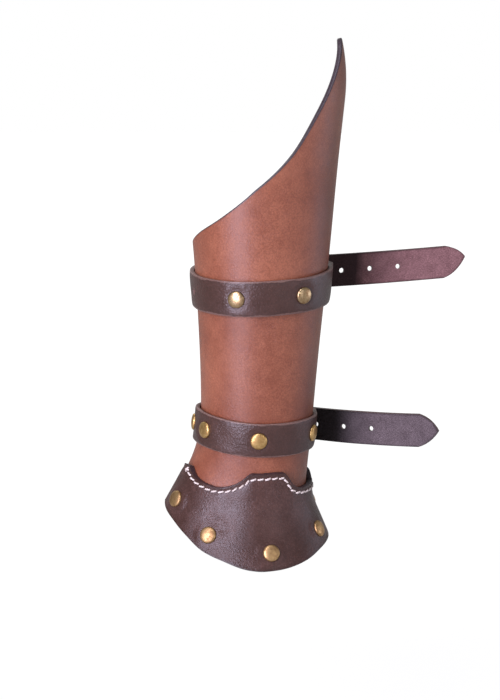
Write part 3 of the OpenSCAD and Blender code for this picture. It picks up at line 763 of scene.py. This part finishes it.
# (angle, share of the drop below the lower opening)
GUARD_LOW = [(-91, -0.08), (-71, 0.08), (-55, 0.24), (-42, 0.43), (-28, 0.685), (-16, 0.83),
             (-4, 0.96), (8, 1), (24, 0.975), (40, 0.89), (55, 0.79), (70, 0.72), (88, 0.64),
             (110, 0.45), (136, 0.05)]


def guard_top(a):
    return GUARD_RISE + GUARD_HOLLOW * smooth_line(GUARD_TOP, a)


def guard_low(a):
    return -GUARD_DROP * smooth_line(GUARD_LOW, a)


GUARD_SEAT = GUARD_OUT + CAP_R**2 / (2 * GUARD_BEND_R) + CAP_GAP
GUARD_RIVETS = [(a, guard_low(a) + RIVET_INSET, GUARD_SEAT) for a in (-63, -26.6, 12.3, 65, 115)]
print("guard rivets at heights:", [round(z, 1) for a, z, seat in GUARD_RIVETS])

# %% The seam's line, below the upper edge
STITCH_PITCH, STITCH_L = 4.3, 3.7
SEAM_FROM, SEAM_TO, SEAM_STEPS = -70.6, 119.0, 640
# (angle, millimetres in from the edge)
SEAM_INSET = [(-79, 2.3), (-61, 1.9), (-50, 1.8), (-38, 2.1), (-28, 2.4), (-18, 2.75), (0, 2.8),
              (122, 2.8)]


def seam_height(a):
    p, q = (skin(b, guard_top(b), GUARD_OUT) for b in (a - 0.5, a + 0.5))
    grade = (q.z - p.z) / hypot(q.x - p.x, q.y - p.y)
    return guard_top(a) - smooth_line(SEAM_INSET, a) * sqrt(1 + grade**2)


def seam_point(a, off=GUARD_OUT):
    return skin(a, seam_height(a), off)


# (millimetres along the seam, angle)
SEAM = [(0.0, SEAM_FROM)]
for k in range(1, SEAM_STEPS + 1):
    sewn, last = SEAM[-1]
    a = mix(SEAM_FROM, SEAM_TO, k / SEAM_STEPS)
    SEAM.append((sewn + (seam_point(a) - seam_point(last)).length, a))


def seam_angle(run):
    for (r0, a0), (r1, a1) in zip(SEAM, SEAM[1:]):
        if run <= r1:
            return mix(a0, a1, (run - r0) / (r1 - r0))
    return SEAM[-1][1]


STITCHES = int(SEAM[-1][0] / STITCH_PITCH)
print("seam:", round(SEAM[-1][0]), "mm,", STITCHES, "stitches")

# %% Guard sheet
GUARD_COLUMNS, GUARD_ROWS, GUARD_H = 260, 54, 40
GUARD_LOW_ENDS, GUARD_TOP_ENDS = (-84.5, 136), (-79, 122)
GUARD_FLAT, GUARD_RIM = (200, 45), (190, 38)
GUARD_PROUD, GUARD_EASE, GUARD_WAVE, GUARD_RIPPLE, GUARD_EDGE_R = 0.25, 9, 0.12, 0.08, 0.5
RIDGE_H, RIDGE_AT, RIDGE_W = 0.9, -4, 13
GROOVE_H, GROOVE_W, GROOVE_FROM = 0.35, 1.3, -76
NEAR_GUARD_RIVET, GUARD_PRESS_R = 22, 10.0


def guard_spot(u, v):
    low, top = mix(*GUARD_LOW_ENDS, u), mix(*GUARD_TOP_ENDS, u)
    return mix(low, top, v), mix(guard_low(low), guard_top(top), v)


def guard_point(u, v):
    a, z = guard_spot(u, v)
    wave = GUARD_WAVE * sin(a / 9.0 + z / 11) + GUARD_RIPPLE * sin(a / 5.3 - z / 6.0 + 2)
    wave += RIDGE_H * hump(a, RIDGE_AT, RIDGE_W)
    wave *= ease((1 - v) * GUARD_H / GUARD_EASE)
    groove = GROOVE_H * hump(z, seam_height(held(a, GROOVE_FROM, SEAM_TO)), GROOVE_W)
    point = skin(a, z, GUARD_OUT + GUARD_PROUD + wave - groove)
    near = [rivet for rivet in GUARD_RIVETS if abs(rivet[0] - a) < NEAR_GUARD_RIVET]
    return pressed(point, near, GUARD_PRESS_R)


def guard_flat(u, v):
    return u * GUARD_FLAT[0], v * GUARD_FLAT[1]


def guard_edge_distance(u, v):
    return min(min(u, 1 - u) * GUARD_RIM[0], min(v, 1 - v) * GUARD_RIM[1])


guard = formed_sheet("guard_body", GUARD_COLUMNS, GUARD_ROWS, guard_point, guard_flat,
                     guard_edge_distance)
give_thickness(guard, GUARD_T, GUARD_EDGE_R, guard_leather, guard_inside, dark_edge)
smooth(guard)
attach(guard, "bracer")
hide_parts("hand_guard")
set_caps("guard_caps", GUARD_RIVETS, "guard_rivet_caps", cap_brass)
print("points in the guard:", len(guard.data.vertices))

# %% [markdown]
# ## Stitching
# One waxed stitch is a short thread that rises from its awl hole, lies on the leather and dives
# into the next hole. One tube with a dashed finish would lie there like a painted line. So a stitch
# is made once from a thin cylinder, cut into rings that are moved into two twisted plies and bent
# down at the ends. It is copied along the seam, outside and inside, each stitch leaning a little
# across the line, as in sewing by hand.

# %% One stitch
THREAD_R, THREAD_SIDES, STITCH_RINGS = 0.56, 12, 14
PLY_BULGE, PLY_TWIST = 0.17, 4.2
END_TAPER, END_DIVE = 0.45, 0.75


def one_stitch():
    select_only()
    bpy.ops.mesh.primitive_cylinder_add(vertices=THREAD_SIDES, radius=THREAD_R * MM,
                                        depth=STITCH_L * MM, rotation=(0, pi / 2, 0))
    stitch = bpy.context.object
    bpy.ops.object.transform_apply(location=True, rotation=True, scale=True)
    bpy.ops.object.mode_set(mode="EDIT")
    for k in range(1, STITCH_RINGS):
        x = mix(-STITCH_L / 2, STITCH_L / 2, k / STITCH_RINGS) * MM
        bpy.ops.mesh.select_all(action="SELECT")
        bpy.ops.mesh.bisect(plane_co=(x, 0, 0), plane_no=(1, 0, 0))
    bpy.ops.object.mode_set(mode="OBJECT")
    for vertex in stitch.data.vertices:
        x = vertex.co.x / MM
        k = abs(x) / (STITCH_L / 2)
        thick = 1 + PLY_BULGE * cos(2 * atan2(vertex.co.z, vertex.co.y) - PLY_TWIST * x)
        thick *= 1 - END_TAPER * k**6
        vertex.co.y *= thick
        vertex.co.z = vertex.co.z * thick - END_DIVE * k**4 * MM
    smooth(stitch, 60)
    return stitch


stitch = one_stitch()
print("faces in a stitch:", len(stitch.data.polygons))

# %% The row of stitches
LEAN_OUTSIDE, LEAN_INSIDE, LEAN_SWAY, LOCK_TURN = 13, 7, 4, 62
GAP_OUTSIDE, GAP_INSIDE = 0.05, 0.15
SEWN_OUTSIDE = GUARD_OUT + THREAD_R + GAP_OUTSIDE
SEWN_INSIDE = -CUFF_T - THREAD_R - GAP_INSIDE


def sew(off, lean):
    row = []
    for i in range(STITCHES):
        run = (i + 0.5) * STITCH_PITCH
        a0, a1 = seam_angle(run - STITCH_L / 2), seam_angle(run + STITCH_L / 2)
        p, q, middle = seam_point(a0, off), seam_point(a1, off), (a0 + a1) / 2
        x = (q - p).normalized()
        z = outward(middle, seam_height(middle)) * (1 if off > 0 else -1)
        y = z.cross(x).normalized()
        matrix = (Matrix.Translation((p + q) / 2 * MM)
                  @ Matrix((x, y, x.cross(y))).transposed().to_4x4()
                  @ Matrix.Rotation(radians(lean + LEAN_SWAY * sin(i * 2.3)), 4, "Z"))
        row.append(copied(stitch, f"stitch_{i}", matrix))
        if i == 0 and off > 0:
            matrix = matrix @ Matrix.Rotation(radians(LOCK_TURN), 4, "Z")
            row.append(copied(stitch, "locking_stitch", matrix))
    return row


stitching = join("seam_stitches", sew(SEWN_OUTSIDE, LEAN_OUTSIDE) + sew(SEWN_INSIDE, LEAN_INSIDE))
stitching.data.materials.append(waxed_thread)
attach(stitching, "bracer")
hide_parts("guard_stitching")
bpy.data.objects.remove(stitch)
print("stitches sewn:", 2 * STITCHES)

# %% [markdown]
# ## Where the straps run
# Each strap is one long piece of leather. Its end is folded under itself round the buckle's heel
# bar and riveted, the band goes once round the cuff, dips under the buckle's outer bar, climbs over
# the fold, and leaves as a free tail. A bevelled curve could follow that path, but it wouldn't lie
# flat on the last. So the run is a list of places, each with the directions outwards and up and its
# angle, repeated from the CAD part's own formula. The tail is a piece of its own from the point
# where it dips under the roller.

# %% The run of a strap: band
# heel is the heel bar's angle, gap the strap's distance from the cuff, and set the angle from the
# ramp to the tail. height, slope, side_rise and back_rise give the strap's line round the cuff.
# length, aside and rise give the tail's length, its tip's place and how it has bent edgeways.
UPPER = dict(heel=147.0, gap=0.6, set=3.0, height=127.4, slope=-0.025, side_rise=0.0,
             back_rise=7.5, length=108.6, aside=2.4, rise=(0.0784, 0.000227))
LOWER = dict(heel=160.0, gap=0.2, set=-44.0, height=43.9, slope=0.062, side_rise=2.9,
             back_rise=-0.9, length=104.3, aside=0.0, rise=(-0.0574, 0.000613))
FOLD_R, UNDER_R, OVER_R, FOLD_GAP = 2.9, 4.1, 5.8, 0.15
CHAPE_L, CHAPE_STEP, FOLD_BLEND, WINDOW_L = 25.0, 9.0, 9.0, 19.0


def line_z(s, a):
    """The height of the strap's middle at an angle."""
    level = s["height"] - s["slope"] * skin(a, s["height"]).x
    return (level + s["side_rise"] * sin(radians(a)) ** 2
            + s["back_rise"] * (1 - cos(radians(a))) / 2)


def turn_per_mm(s):
    """The degrees that a millimetre of strap takes, behind."""
    return 180 / pi / half_depth(line_z(s, BEHIND))


def over_end(s, d):
    """How far the band stands off over its own folded end, d from the heel bar."""
    step = mix(STRAP_T + FOLD_GAP, 2 * FOLD_R, 1 - ease(d / FOLD_BLEND))
    return step * (1 - ease((d - CHAPE_L) / CHAPE_STEP))


def band_off(s, a):
    """How far the band's middle stands off the cuff. Over the hollow of the flare it bridges."""
    flare_h, flare_r = LOW_SIDE_FLARE
    chord = 0 if line_z(s, a) > flare_h else min(sin(radians(a)), 0) * STRAP_W
    bridge = chord**2 / (8 * flare_r)
    over = 0 if a < 0 else over_end(s, (s["heel"] - a) / turn_per_mm(s))
    return s["gap"] + STRAP_T / 2 + bridge + over


def on_surface(s, a, off, flip=1):
    """A row of the run on the cuff: its place, outwards, up and its angle."""
    z = line_z(s, a)
    return [skin(a, z, off), outward(a, z) * flip, upward(a, z), a]


print("strap heights at the front:", line_z(UPPER, 0), line_z(LOWER, 0))

# %% The run of a strap: at the buckle
HINGE_GAP = 0.3


def at_buckle(s):
    """The buckle's place and directions: x round the cuff towards the tail, y outwards, z up."""
    base = skin(s["heel"], line_z(s, s["heel"]))
    t, u = -along(s["heel"], base.z), upward(s["heel"], base.z)
    yaw = atan2(t.y, t.x)
    lean = atan2(-u.x * sin(yaw) + u.y * cos(yaw), u.z)
    x = Vector((cos(yaw), sin(yaw), 0))
    y = Vector((-sin(yaw) * cos(lean), cos(yaw) * cos(lean), -sin(lean)))
    return base, x, y, x.cross(y)


def direction(a):
    return Vector((cos(radians(a)), sin(radians(a))))


def side(a):
    return Vector((-sin(radians(a)), cos(radians(a))))


def lay_out(s):
    """Adds the strap's buckle, bends and turns to its dictionary."""
    s["base"], s["x"], s["y"], s["z"] = at_buckle(s)
    s["heel_bar"] = Vector((0, s["gap"] + STRAP_T / 2 + FOLD_R))
    s["roller_at"] = s["heel"] + WINDOW_L * turn_per_mm(s)
    off = s["gap"] + STRAP_T / 2 + UNDER_R
    roller = skin(s["roller_at"], line_z(s, s["roller_at"]), off) - s["base"]
    s["roller"] = Vector((roller.dot(s["x"]), roller.dot(s["y"])))
    d = s["heel_bar"] - s["roller"]
    s["ramp"] = degrees(atan2(d.y, d.x)) + degrees(asin((UNDER_R + OVER_R) / d.length))
    s["tail"] = s["ramp"] + s["set"]
    s["ramp_from"] = s["roller"] - side(s["ramp"]) * UNDER_R
    s["ramp_to"] = s["heel_bar"] + side(s["ramp"]) * OVER_R
    leaves = s["heel_bar"] + side(min(s["tail"], s["ramp"])) * OVER_R
    s["hinge"] = leaves + direction(s["tail"]) * (STRAP_T / 2 + HINGE_GAP)


def turned(s, n):
    """A direction in the buckle's own plane, in the scene's directions."""
    return s["x"] * n.x + s["y"] * n.y


def to_world(s, p):
    return s["base"] + s["x"] * p.x + s["y"] * p.y


def local(s, p, n):
    """A row of the run at the buckle, where the strap's middle passes p and faces n."""
    return [to_world(s, p), turned(s, n), s["z"], BEHIND]


for strap in (UPPER, LOWER):
    lay_out(strap)
    print("ramp", round(strap["ramp"], 2), "tail", round(strap["tail"], 2),
          "hinge", [round(c, 2) for c in to_world(strap, strap["hinge"])])

# %% The run of a strap: all of it in order
FOLD_STEPS, DOWN_STEPS, ROUND_STEPS = 22, 40, 200
ROLLER_STEPS, RAMP_STEPS, TURN_STEPS = 4, 24, 16
MEET_FOLD, MEET_ROLLER = 12, 15


def meet(rows, goal):
    """Eases the first rows of a stretch over to goal, so that two stretches join without a jog."""
    ahead = (rows[1][0] - rows[0][0]).normalized()
    drift = goal[0] - rows[0][0]
    drift -= ahead * drift.dot(ahead)
    for i, row in enumerate(rows):
        share = ease(1 - i / len(rows))
        row[0] = row[0] + drift * share
        row[1] = row[1].lerp(goal[1], share).normalized()
        row[2] = row[2].lerp(goal[2], share).normalized()


def band_run(s):
    """From the folded end, round the heel bar and the cuff, to the dip under the roller."""
    shares = [i / FOLD_STEPS for i in range(FOLD_STEPS)]
    angles = [s["heel"] - CHAPE_L * (1 - k) * turn_per_mm(s) for k in shares]
    run = [on_surface(s, a, s["gap"] + STRAP_T / 2, -1) for a in angles]
    for t in (direction(270 - 180 * k) for k in shares):
        run.append(local(s, s["heel_bar"] + t * FOLD_R, t))
    down = s["heel"] - (CHAPE_L + CHAPE_STEP) * turn_per_mm(s)
    angles = [mix(s["heel"], down, i / DOWN_STEPS) for i in range(DOWN_STEPS)]
    angles += [mix(down, s["roller_at"] - 360, i / ROUND_STEPS) for i in range(ROUND_STEPS + 1)]
    run += [on_surface(s, a, band_off(s, a)) for a in angles]
    dip = roller_bend(s)
    meet(run[2 * FOLD_STEPS:2 * FOLD_STEPS + MEET_FOLD], run[2 * FOLD_STEPS - 1])
    meet(run[:-1 - MEET_ROLLER:-1], dip[0])
    return run[:-1] + dip[2:3]


def roller_bend(s):
    out = outward(s["roller_at"], line_z(s, s["roller_at"]))
    start = degrees(atan2(-out.dot(s["y"]), -out.dot(s["x"])))
    start = start - 360 if start > 0 else start
    turns = [mix(start, s["ramp"] - 90, i / ROLLER_STEPS) for i in range(1, ROLLER_STEPS + 1)]
    return [local(s, s["roller"] + direction(t) * UNDER_R, -direction(t)) for t in turns]


def tail_start_run(s):
    """From under the roller, up the ramp and over the fold, to the tail's bend."""
    run, climb = roller_bend(s), side(s["ramp"])
    for k in range(1, RAMP_STEPS):
        run.append(local(s, s["ramp_from"].lerp(s["ramp_to"], k / RAMP_STEPS), climb))
    if s["set"] >= 0:
        return run + [local(s, s["ramp_to"], climb)]
    turns = [mix(s["ramp"], s["tail"], i / TURN_STEPS) for i in range(TURN_STEPS + 1)]
    return run + [local(s, s["heel_bar"] + side(t) * OVER_R, side(t)) for t in turns]


def lengths(run):
    """How much strap there is from the run's first row to each row."""
    total, out = 0.0, [0.0]
    for p, q in zip(run, run[1:]):
        total += (q[0] - p[0]).length
        out.append(total)
    return out


print("places along the upper band:", len(band_run(UPPER)))

# %% [markdown]
# ## The strap bands
# The band sheet follows its run as a ribbon. Leather that has been buckled for years isn't flat
# across: its edges turn down a little, it swells between rivets, and the first rivet of the upper
# strap has drawn small folds to itself. A bump in the finish would leave the strap's outline flat,
# so these moves of under a millimetre are put in before the sheet gets its thickness. The slot for
# the prong and the spare hole are opened in the thin sheet, so that their walls are real.

# %% Rivets on the straps
CHAPE_RIVET_IN, CHAPE_SEAT = CAP_R + 2.5, 0.2


def band_rivets(s, angles):
    return [(a, line_z(s, a), band_off(s, a) + STRAP_T / 2 + CAP_GAP) for a in angles]


def chape_rivet(s):
    """The rivet through the strap's folded end."""
    a = s["heel"] - (CHAPE_L - CHAPE_RIVET_IN) * turn_per_mm(s)
    return a, line_z(s, a), s["gap"] + 2 * STRAP_T + CHAPE_SEAT


UPPER_RIVETS = band_rivets(UPPER, (-16.2, 38.8))
LOWER_RIVETS = band_rivets(LOWER, (-86.7, -54.6, 3.8, 70.2))
print("rivets on the bands:", len(UPPER_RIVETS), "and", len(LOWER_RIVETS))

# %% Band sheet
BAND_ROWS = 20
BAND_PROUD, BAND_WAVE, SWELL_H = 0.2, 0.10, 0.24
WEAR_H, WEAR_W = 0.35, 1.6
FOLDS, FOLD_TURN, FOLD_LEVEL, FOLD_H, FOLD_AT, FOLD_W = 5, 0.8, 0.4, 0.26, 7.0, 2.8
PUCKER_H, PUCKER_AT, PUCKER_W = 0.10, 12, 8
RIVET_REACH, NEAR_BAND_RIVET, BAND_PRESS_R, PLAIN_PAST_CHAPE = 40, 24, 9.0, 2


def strap_relief(s, a, across, rivets):
    """How far a point of the band stands proud: worn edges, swelling, the first rivet's folds."""
    edge = STRAP_W / 2 - abs(across)
    off = BAND_PROUD - WEAR_H * exp(-edge / WEAR_W)
    off += BAND_WAVE * sin(a / 7.0 + across / 3.0) * sin(a / 17.0)
    for i, (rivet_a, _, _) in enumerate(rivets):
        if abs(rivet_a - a) < RIVET_REACH:
            run = (a - rivet_a) / turn_per_mm(s)
            d = hypot(run, across)
            off += SWELL_H * swell(d)
            if i == 0:
                fold = max(cos(FOLDS * atan2(across, run) + FOLD_TURN), 0.0) ** 2 - FOLD_LEVEL
                off += FOLD_H * hump(d, FOLD_AT, FOLD_W) * fold
                off += PUCKER_H * hump(run, PUCKER_AT, PUCKER_W)
    return off


def band_sheet(name, s, rivets):
    run = band_run(s)
    dist, last = lengths(run), len(run) - 1
    folded_from = s["heel"] - (CHAPE_L + PLAIN_PAST_CHAPE) * turn_per_mm(s)

    def place(u, v):
        middle, out, up, a = run[round(u * last)]
        across = (0.5 - v) * STRAP_W
        on_cuff = a < folded_from
        lift = strap_relief(s, a, across, rivets) if on_cuff else 0.0
        point = middle + up * across + out * (STRAP_T / 2 + lift)
        near = [rivet for rivet in rivets if on_cuff and abs(rivet[0] - a) < NEAR_BAND_RIVET]
        return pressed(point, near, BAND_PRESS_R)

    def flat(u, v):
        return -dist[round(u * last)], (0.5 - v) * STRAP_W

    def from_edge(u, v):
        return min(v, 1 - v) * STRAP_W

    return formed_sheet(name, last, BAND_ROWS, place, flat, from_edge)


upper_band = band_sheet("upper_band", UPPER, UPPER_RIVETS)
lower_band = band_sheet("lower_band", LOWER, LOWER_RIVETS)
print("band points:", len(upper_band.data.vertices), len(lower_band.data.vertices))

# %% Slot for the prong, thickness and finish
SLOT_HALF, SLOT_ROUND, SLOT_ALONG, SLOT_DEEP = 2.1, 4.6, 6, 8
SPARE_AT, HOLE_R, BAND_EDGE_R = -68.7, 1.55, 0.7


def open_slot(sheet, s):
    """Deletes the sheet's faces where the prong's loop reaches the heel bar."""
    def at_heel(face):
        away = face.center / MM - to_world(s, s["heel_bar"])
        x, y, z = away.dot(s["x"]), away.dot(s["y"]), away.dot(s["z"])
        beside = 0 < x < SLOT_ALONG and abs(y) < SLOT_DEEP
        return abs(z) < SLOT_HALF and (hypot(x, y) < SLOT_ROUND or beside)

    pick_faces(sheet, at_heel)
    bpy.ops.mesh.delete(type="FACE")
    bpy.ops.object.mode_set(mode="OBJECT")


def finish_band(sheet, s, node):
    open_slot(sheet, s)
    give_thickness(sheet, STRAP_T, BAND_EDGE_R, strap_leather, strap_inside, strap_edge)
    smooth(sheet)
    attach(sheet, "bracer")
    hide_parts(node)


spare, _, spare_up, _ = on_surface(UPPER, SPARE_AT, band_off(UPPER, SPARE_AT) + STRAP_T / 2)
open_hole(upper_band, spare, along(SPARE_AT, spare.z), spare_up, HOLE_R)
finish_band(upper_band, UPPER, "upper_strap")
finish_band(lower_band, LOWER, "lower_strap")
print("triangles in the upper band:", sum(len(f.vertices) - 2 for f in upper_band.data.polygons))

# %% Caps on the straps
set_caps("upper_caps", UPPER_RIVETS, "upper_strap_rivet_caps", pale_brass)
set_caps("lower_caps", LOWER_RIVETS, "lower_strap_rivet_caps", strap_brass)
set_caps("upper_chape_cap", [chape_rivet(UPPER)], "upper_chape_rivet_cap", pale_brass)
set_caps("lower_chape_cap", [chape_rivet(LOWER)], "lower_chape_rivet_cap", strap_brass)
bpy.data.objects.remove(domed_cap)
print("caps set on both straps")

# %% [markdown]
# ## The strap tails
# A tail is flat strap with punched holes and a pointed end. Its flesh side faces the viewer. The
# sheet starts out of sight under the roller and goes on to the tip, where its columns follow the
# point's two arcs. A point cut with a Boolean would leave long thin faces that shade badly.

# %% The pointed end
POINT_L, POINT_R = 12.8, 22.0


def point_x(y):
    """The arc from the tip to the shoulder: how far along the strap it is, y from the middle."""
    half, y = STRAP_W / 2, abs(y)
    chord = hypot(POINT_L, half)
    back = sqrt(POINT_R**2 - chord**2 / 4)
    cx, cy = POINT_L / 2 - back * half / chord, half / 2 - back * POINT_L / chord
    return cx + sqrt(POINT_R**2 - (y - cy) ** 2)


def tip_back(y, aside):
    """How far the point's outline stands back from its tip, at y across the strap. The knife cut of
    the upper tail puts the tip a little aside from the middle."""
    half = STRAP_W / 2
    reach = half - aside if y > aside else half + aside
    return POINT_L - point_x(abs(y - aside) / reach * half)


print("the point falls back by", round(tip_back(STRAP_W / 2, 0.0), 1), "mm at the edges")

# %% Tail sheet
TAIL_COLUMNS, TAIL_ROWS, TAIL_EASE = 150, 28, 12
TAIL_BOW, TAIL_WAVE, CURL_H, CURL_W = 0.9, 0.15, 0.3, 1.5
TAIL_FLAT_FROM, POINT_EDGE_SHARE = 400, 0.8


def rise(s, run):
    """How far the tail has bent edgeways, run along it from its bend."""
    return s["rise"][0] * run + s["rise"][1] * run**2


def tail_sheet(name, s):
    start = tail_start_run(s)
    dist = lengths(start)
    columns = len(start) - 1 + TAIL_COLUMNS
    heading, face_out = turned(s, direction(s["tail"])), turned(s, side(s["tail"]))

    def spot(u, v):
        """The column, the place across, and the length from the bend to the outline there."""
        across = (0.5 - v) * STRAP_W
        return round(u * columns), across, s["length"] - tip_back(across, s["aside"])

    def past_bend(i, free):
        return free * (i - len(start) + 1) / TAIL_COLUMNS

    def place(u, v):
        i, across, free = spot(u, v)
        if i < len(start):
            middle, out, up, _ = start[i]
            return middle + up * across + out * STRAP_T / 2
        run = past_bend(i, free)
        bow = TAIL_BOW * sin(pi * run / s["length"]) + TAIL_WAVE * sin(run / 9.0 + across / 5)
        curl = CURL_H * exp(-(STRAP_W / 2 - abs(across)) / CURL_W)
        off = STRAP_T / 2 + (bow - curl) * ease(run / TAIL_EASE)
        return start[-1][0] + heading * run + s["z"] * (across + rise(s, run)) + face_out * off

    def flat(u, v):
        i, across, free = spot(u, v)
        run = dist[i] if i < len(start) else dist[-1] + past_bend(i, free)
        return TAIL_FLAT_FROM + run, across

    def from_edge(u, v):
        i, across, free = spot(u, v)
        beside, ahead = STRAP_W / 2 - abs(across), free - past_bend(i, free)
        return beside if i < len(start) else min(beside, ahead * POINT_EDGE_SHARE)

    return formed_sheet(name, columns, TAIL_ROWS, place, flat, from_edge)


upper_tail = tail_sheet("upper_tail_leather", UPPER)
lower_tail = tail_sheet("lower_tail_leather", LOWER)
print("tail points:", len(upper_tail.data.vertices), len(lower_tail.data.vertices))

# %% Where the prong goes through
ROLLER_R, ROLLER_GAP, PRONG_R, PRONG_LIFT = 2.5, 0.3, 1.1, 1.9


def prong_crossing(s):
    """Where the prong passes through the middle of the ramp."""
    d = s["roller"] - s["heel_bar"]
    rests = ROLLER_R + ROLLER_GAP + PRONG_R - PRONG_LIFT
    turn = degrees(atan2(d.y, d.x)) - degrees(asin(rests / d.length))
    root = s["heel_bar"] - side(turn) * PRONG_LIFT
    a, u, v, b = s["ramp_from"], direction(s["ramp"]), direction(turn), root - s["ramp_from"]
    return a + u * ((b.x * v.y - b.y * v.x) / (u.x * v.y - u.y * v.x))


def run_to_hinge(s):
    bend = max(-s["set"], 0) * pi / 180 * OVER_R
    return (s["ramp_to"] - prong_crossing(s)).length + bend + STRAP_T / 2 + HINGE_GAP


for strap in (UPPER, LOWER):
    crossing = to_world(strap, prong_crossing(strap))
    print("prong crosses the strap at:", [round(c, 2) for c in crossing])

# %% Thickness, holes and finish of the tails
HOLES, PITCH = 4, 18.0
SLOT_SHIFT, SLOT_R, SLOT_DRAWN = 0.9, 1.6, 4.1
BEND_BEFORE, BEND_AFTER, TAIL_EDGE_R = 4.2, 7.0, 0.5
# Both tails' flesh sides get a near-black painted shadow near the buckle, where the cuff shades them.
upper_inside = flesh_side("upper tail flesh side", (0.135, 0.064, 0.062), (0.320, 0.170, 0.165),
                          painted_shadow=(463.5, 3.0))
lower_inside = flesh_side("lower tail flesh side", (0.056, 0.040, 0.042), (0.158, 0.124, 0.128),
                          painted_shadow=(479.0, 14.0), roughness=0.62)


def finish_tail(tail, s, node, flesh):
    heading, out = turned(s, direction(s["tail"])), turned(s, side(s["tail"]))
    slope, face = direction(s["ramp"]), side(s["ramp"]) * STRAP_T / 2
    slot_at = prong_crossing(s) + slope * SLOT_SHIFT + face
    open_hole(tail, to_world(s, slot_at), turned(s, slope), s["z"], SLOT_R, SLOT_DRAWN)
    hinge_at = to_world(s, s["hinge"])
    for i in range(1, HOLES + 1):
        run = i * PITCH - run_to_hinge(s)
        hole_at = hinge_at + heading * run + s["z"] * rise(s, run) + out * STRAP_T / 2
        open_hole(tail, hole_at, heading, s["z"], HOLE_R)
    give_thickness(tail, STRAP_T, TAIL_EDGE_R, strap_leather, flesh, tail_edge)
    smooth(tail)
    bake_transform(tail)
    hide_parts(node)


finish_tail(upper_tail, UPPER, "upper_strap_tail", upper_inside)
finish_tail(lower_tail, LOWER, "lower_strap_tail", lower_inside)
print("holes punched:", 2 * HOLES)

# %% [markdown]
# ## Buckles and inner caps
# The buckle frames, rollers, prongs and inner caps already have their true shapes in the CAD
# model. Modelling them again could only move them. So each keeps its mesh and gets its metal, as a
# finish in its slots.

# %% Metal on the CAD parts
def give_finish(node, finish):
    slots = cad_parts[node].material_slots
    for slot in slots:
        slot.material = finish
    if not slots:
        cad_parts[node].data.materials.append(finish)


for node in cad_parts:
    if "buckle" in node:
        give_finish(node, buckle_brass)
    elif "rivet" in node:
        give_finish(node, cap_brass)
print("finished:", sum("buckle" in n or "rivet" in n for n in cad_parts), "metal nodes")

# %% [markdown]
# ## Studio
# The picture was lit by a tall soft box at the front left, with broad weaker ones at the right,
# from above and from behind, before a white sweep. Large lamps give leather its long soft shine.
# One small weak lamp at the front right only puts a bright point on each brass cap. Whiter lamps
# would bleach the leather along with the background, so the background is white through Light
# Path: fully so to the camera, partly in reflections, and it adds no light.

# %% Lamps
def soft_box(name, place, aim, size, power, colour):
    light = bpy.data.lights.new(name, "AREA")
    light.shape, light.energy, light.color = "RECTANGLE", power, colour
    light.size, light.size_y = size
    lamp = bpy.data.objects.new(name, light)
    bpy.context.scene.collection.objects.link(lamp)
    lamp.location = place
    lamp.rotation_euler = (Vector(aim) - Vector(place)).to_track_quat("-Z", "Y").to_euler()


soft_box("key soft box", (-0.66, -1.12, 0.32), (0, 0, 0.09), (0.36, 1.2), 29, (0.84, 0.775, 1.0))
soft_box("right soft box", (1.2, 0.12, 0.02), (0, 0, 0.04), (0.80, 0.7), 3.3, (0.80, 0.79, 1.0))
soft_box("front right soft box", (0.85, -0.80, 0.15), (0, 0, 0.08), (0.35, 0.9), 1.1,
         (0.84, 0.80, 1.0))
soft_box("small lamp", (0.62, -1.05, 0.32), (0, 0, 0.08), (0.09, 0.09), 0.8, (0.95, 0.92, 1.0))
soft_box("top soft box", (-0.2, -0.5, 1.15), (0, 0, 0.05), (0.5, 0.5), 5, (0.88, 0.85, 1.0))
soft_box("back soft box", (-0.5, 1.2, 0.9), (0, 0, 0.15), (0.9, 0.9), 3, (1.0, 1.0, 1.0))

# %% White surroundings
SHINE_SHARE = 0.35


def sees_white(recipe):
    """How fully a ray sees the white: wholly from the camera and through glass, less in a shine."""
    path = recipe.add("LightPath").outputs
    direct = recipe.math("MAXIMUM", path["Is Camera Ray"], path["Is Transmission Ray"])
    return recipe.math("MAXIMUM", direct, recipe.times(path["Is Glossy Ray"], SHINE_SHARE))


def whiten(recipe, share, white, output):
    """Mixes the white shader with the recipe's own, by share, in front of its output."""
    mixer = recipe.add("MixShader")
    recipe.feed_all(mixer.inputs, (share, recipe.shader.outputs[0], white.outputs[0]))
    recipe.feed(recipe.tree.nodes[output].inputs["Surface"], mixer.outputs[0])


studio = Recipe("white studio", bpy.data.worlds, "Background")
studio.set(Color=(0.88, 0.84, 1.0), Strength=0.06)
white = studio.add("Background", Color=(1, 1, 1), Strength=1.0)
whiten(studio, sees_white(studio), white, "World Output")
bpy.context.scene.world = studio.made
print("reflections show", SHINE_SHARE, "of the white")

# %% Floor
FLOOR_DROP, FLOOR_SIZE = 0.2, 60
select_only()
bpy.ops.mesh.primitive_plane_add(size=FLOOR_SIZE, location=(0, 0, -FLOOR_DROP))
floor = bpy.context.object
floor.name = floor.data.name = "studio_floor"
bpy.ops.object.transform_apply(location=True, rotation=True, scale=True)
paint = Recipe("white floor")
paint.set(Base_Color=(0.5, 0.5, 0.5), Roughness=0.9)
away = paint.add("VectorMath", operation="LENGTH")
paint.feed(away.inputs[0], paint.solid_place())
fade = paint.spread(away.outputs["Value"], 0.35, 1.6, 0.86, 1.0)
glow = paint.add("Emission", Color=(1, 1, 1), Strength=1.12)
whiten(paint, paint.times(sees_white(paint), fade), glow, "Material Output")
floor.data.materials.append(paint.made)
floor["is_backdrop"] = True
bpy.context.scene.view_settings.view_transform = "Standard"
print("the floor lies", round(FLOOR_DROP / MM), "mm below the cuff's lower opening")

# %% Sizes, and the end
shown_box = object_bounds()
for corner, p, q in zip(("lowest", "highest"), cad_box, shown_box):
    print(corner, "corners differ by mm:", [round((b - a) / MM, 2) for a, b in zip(p, q)])
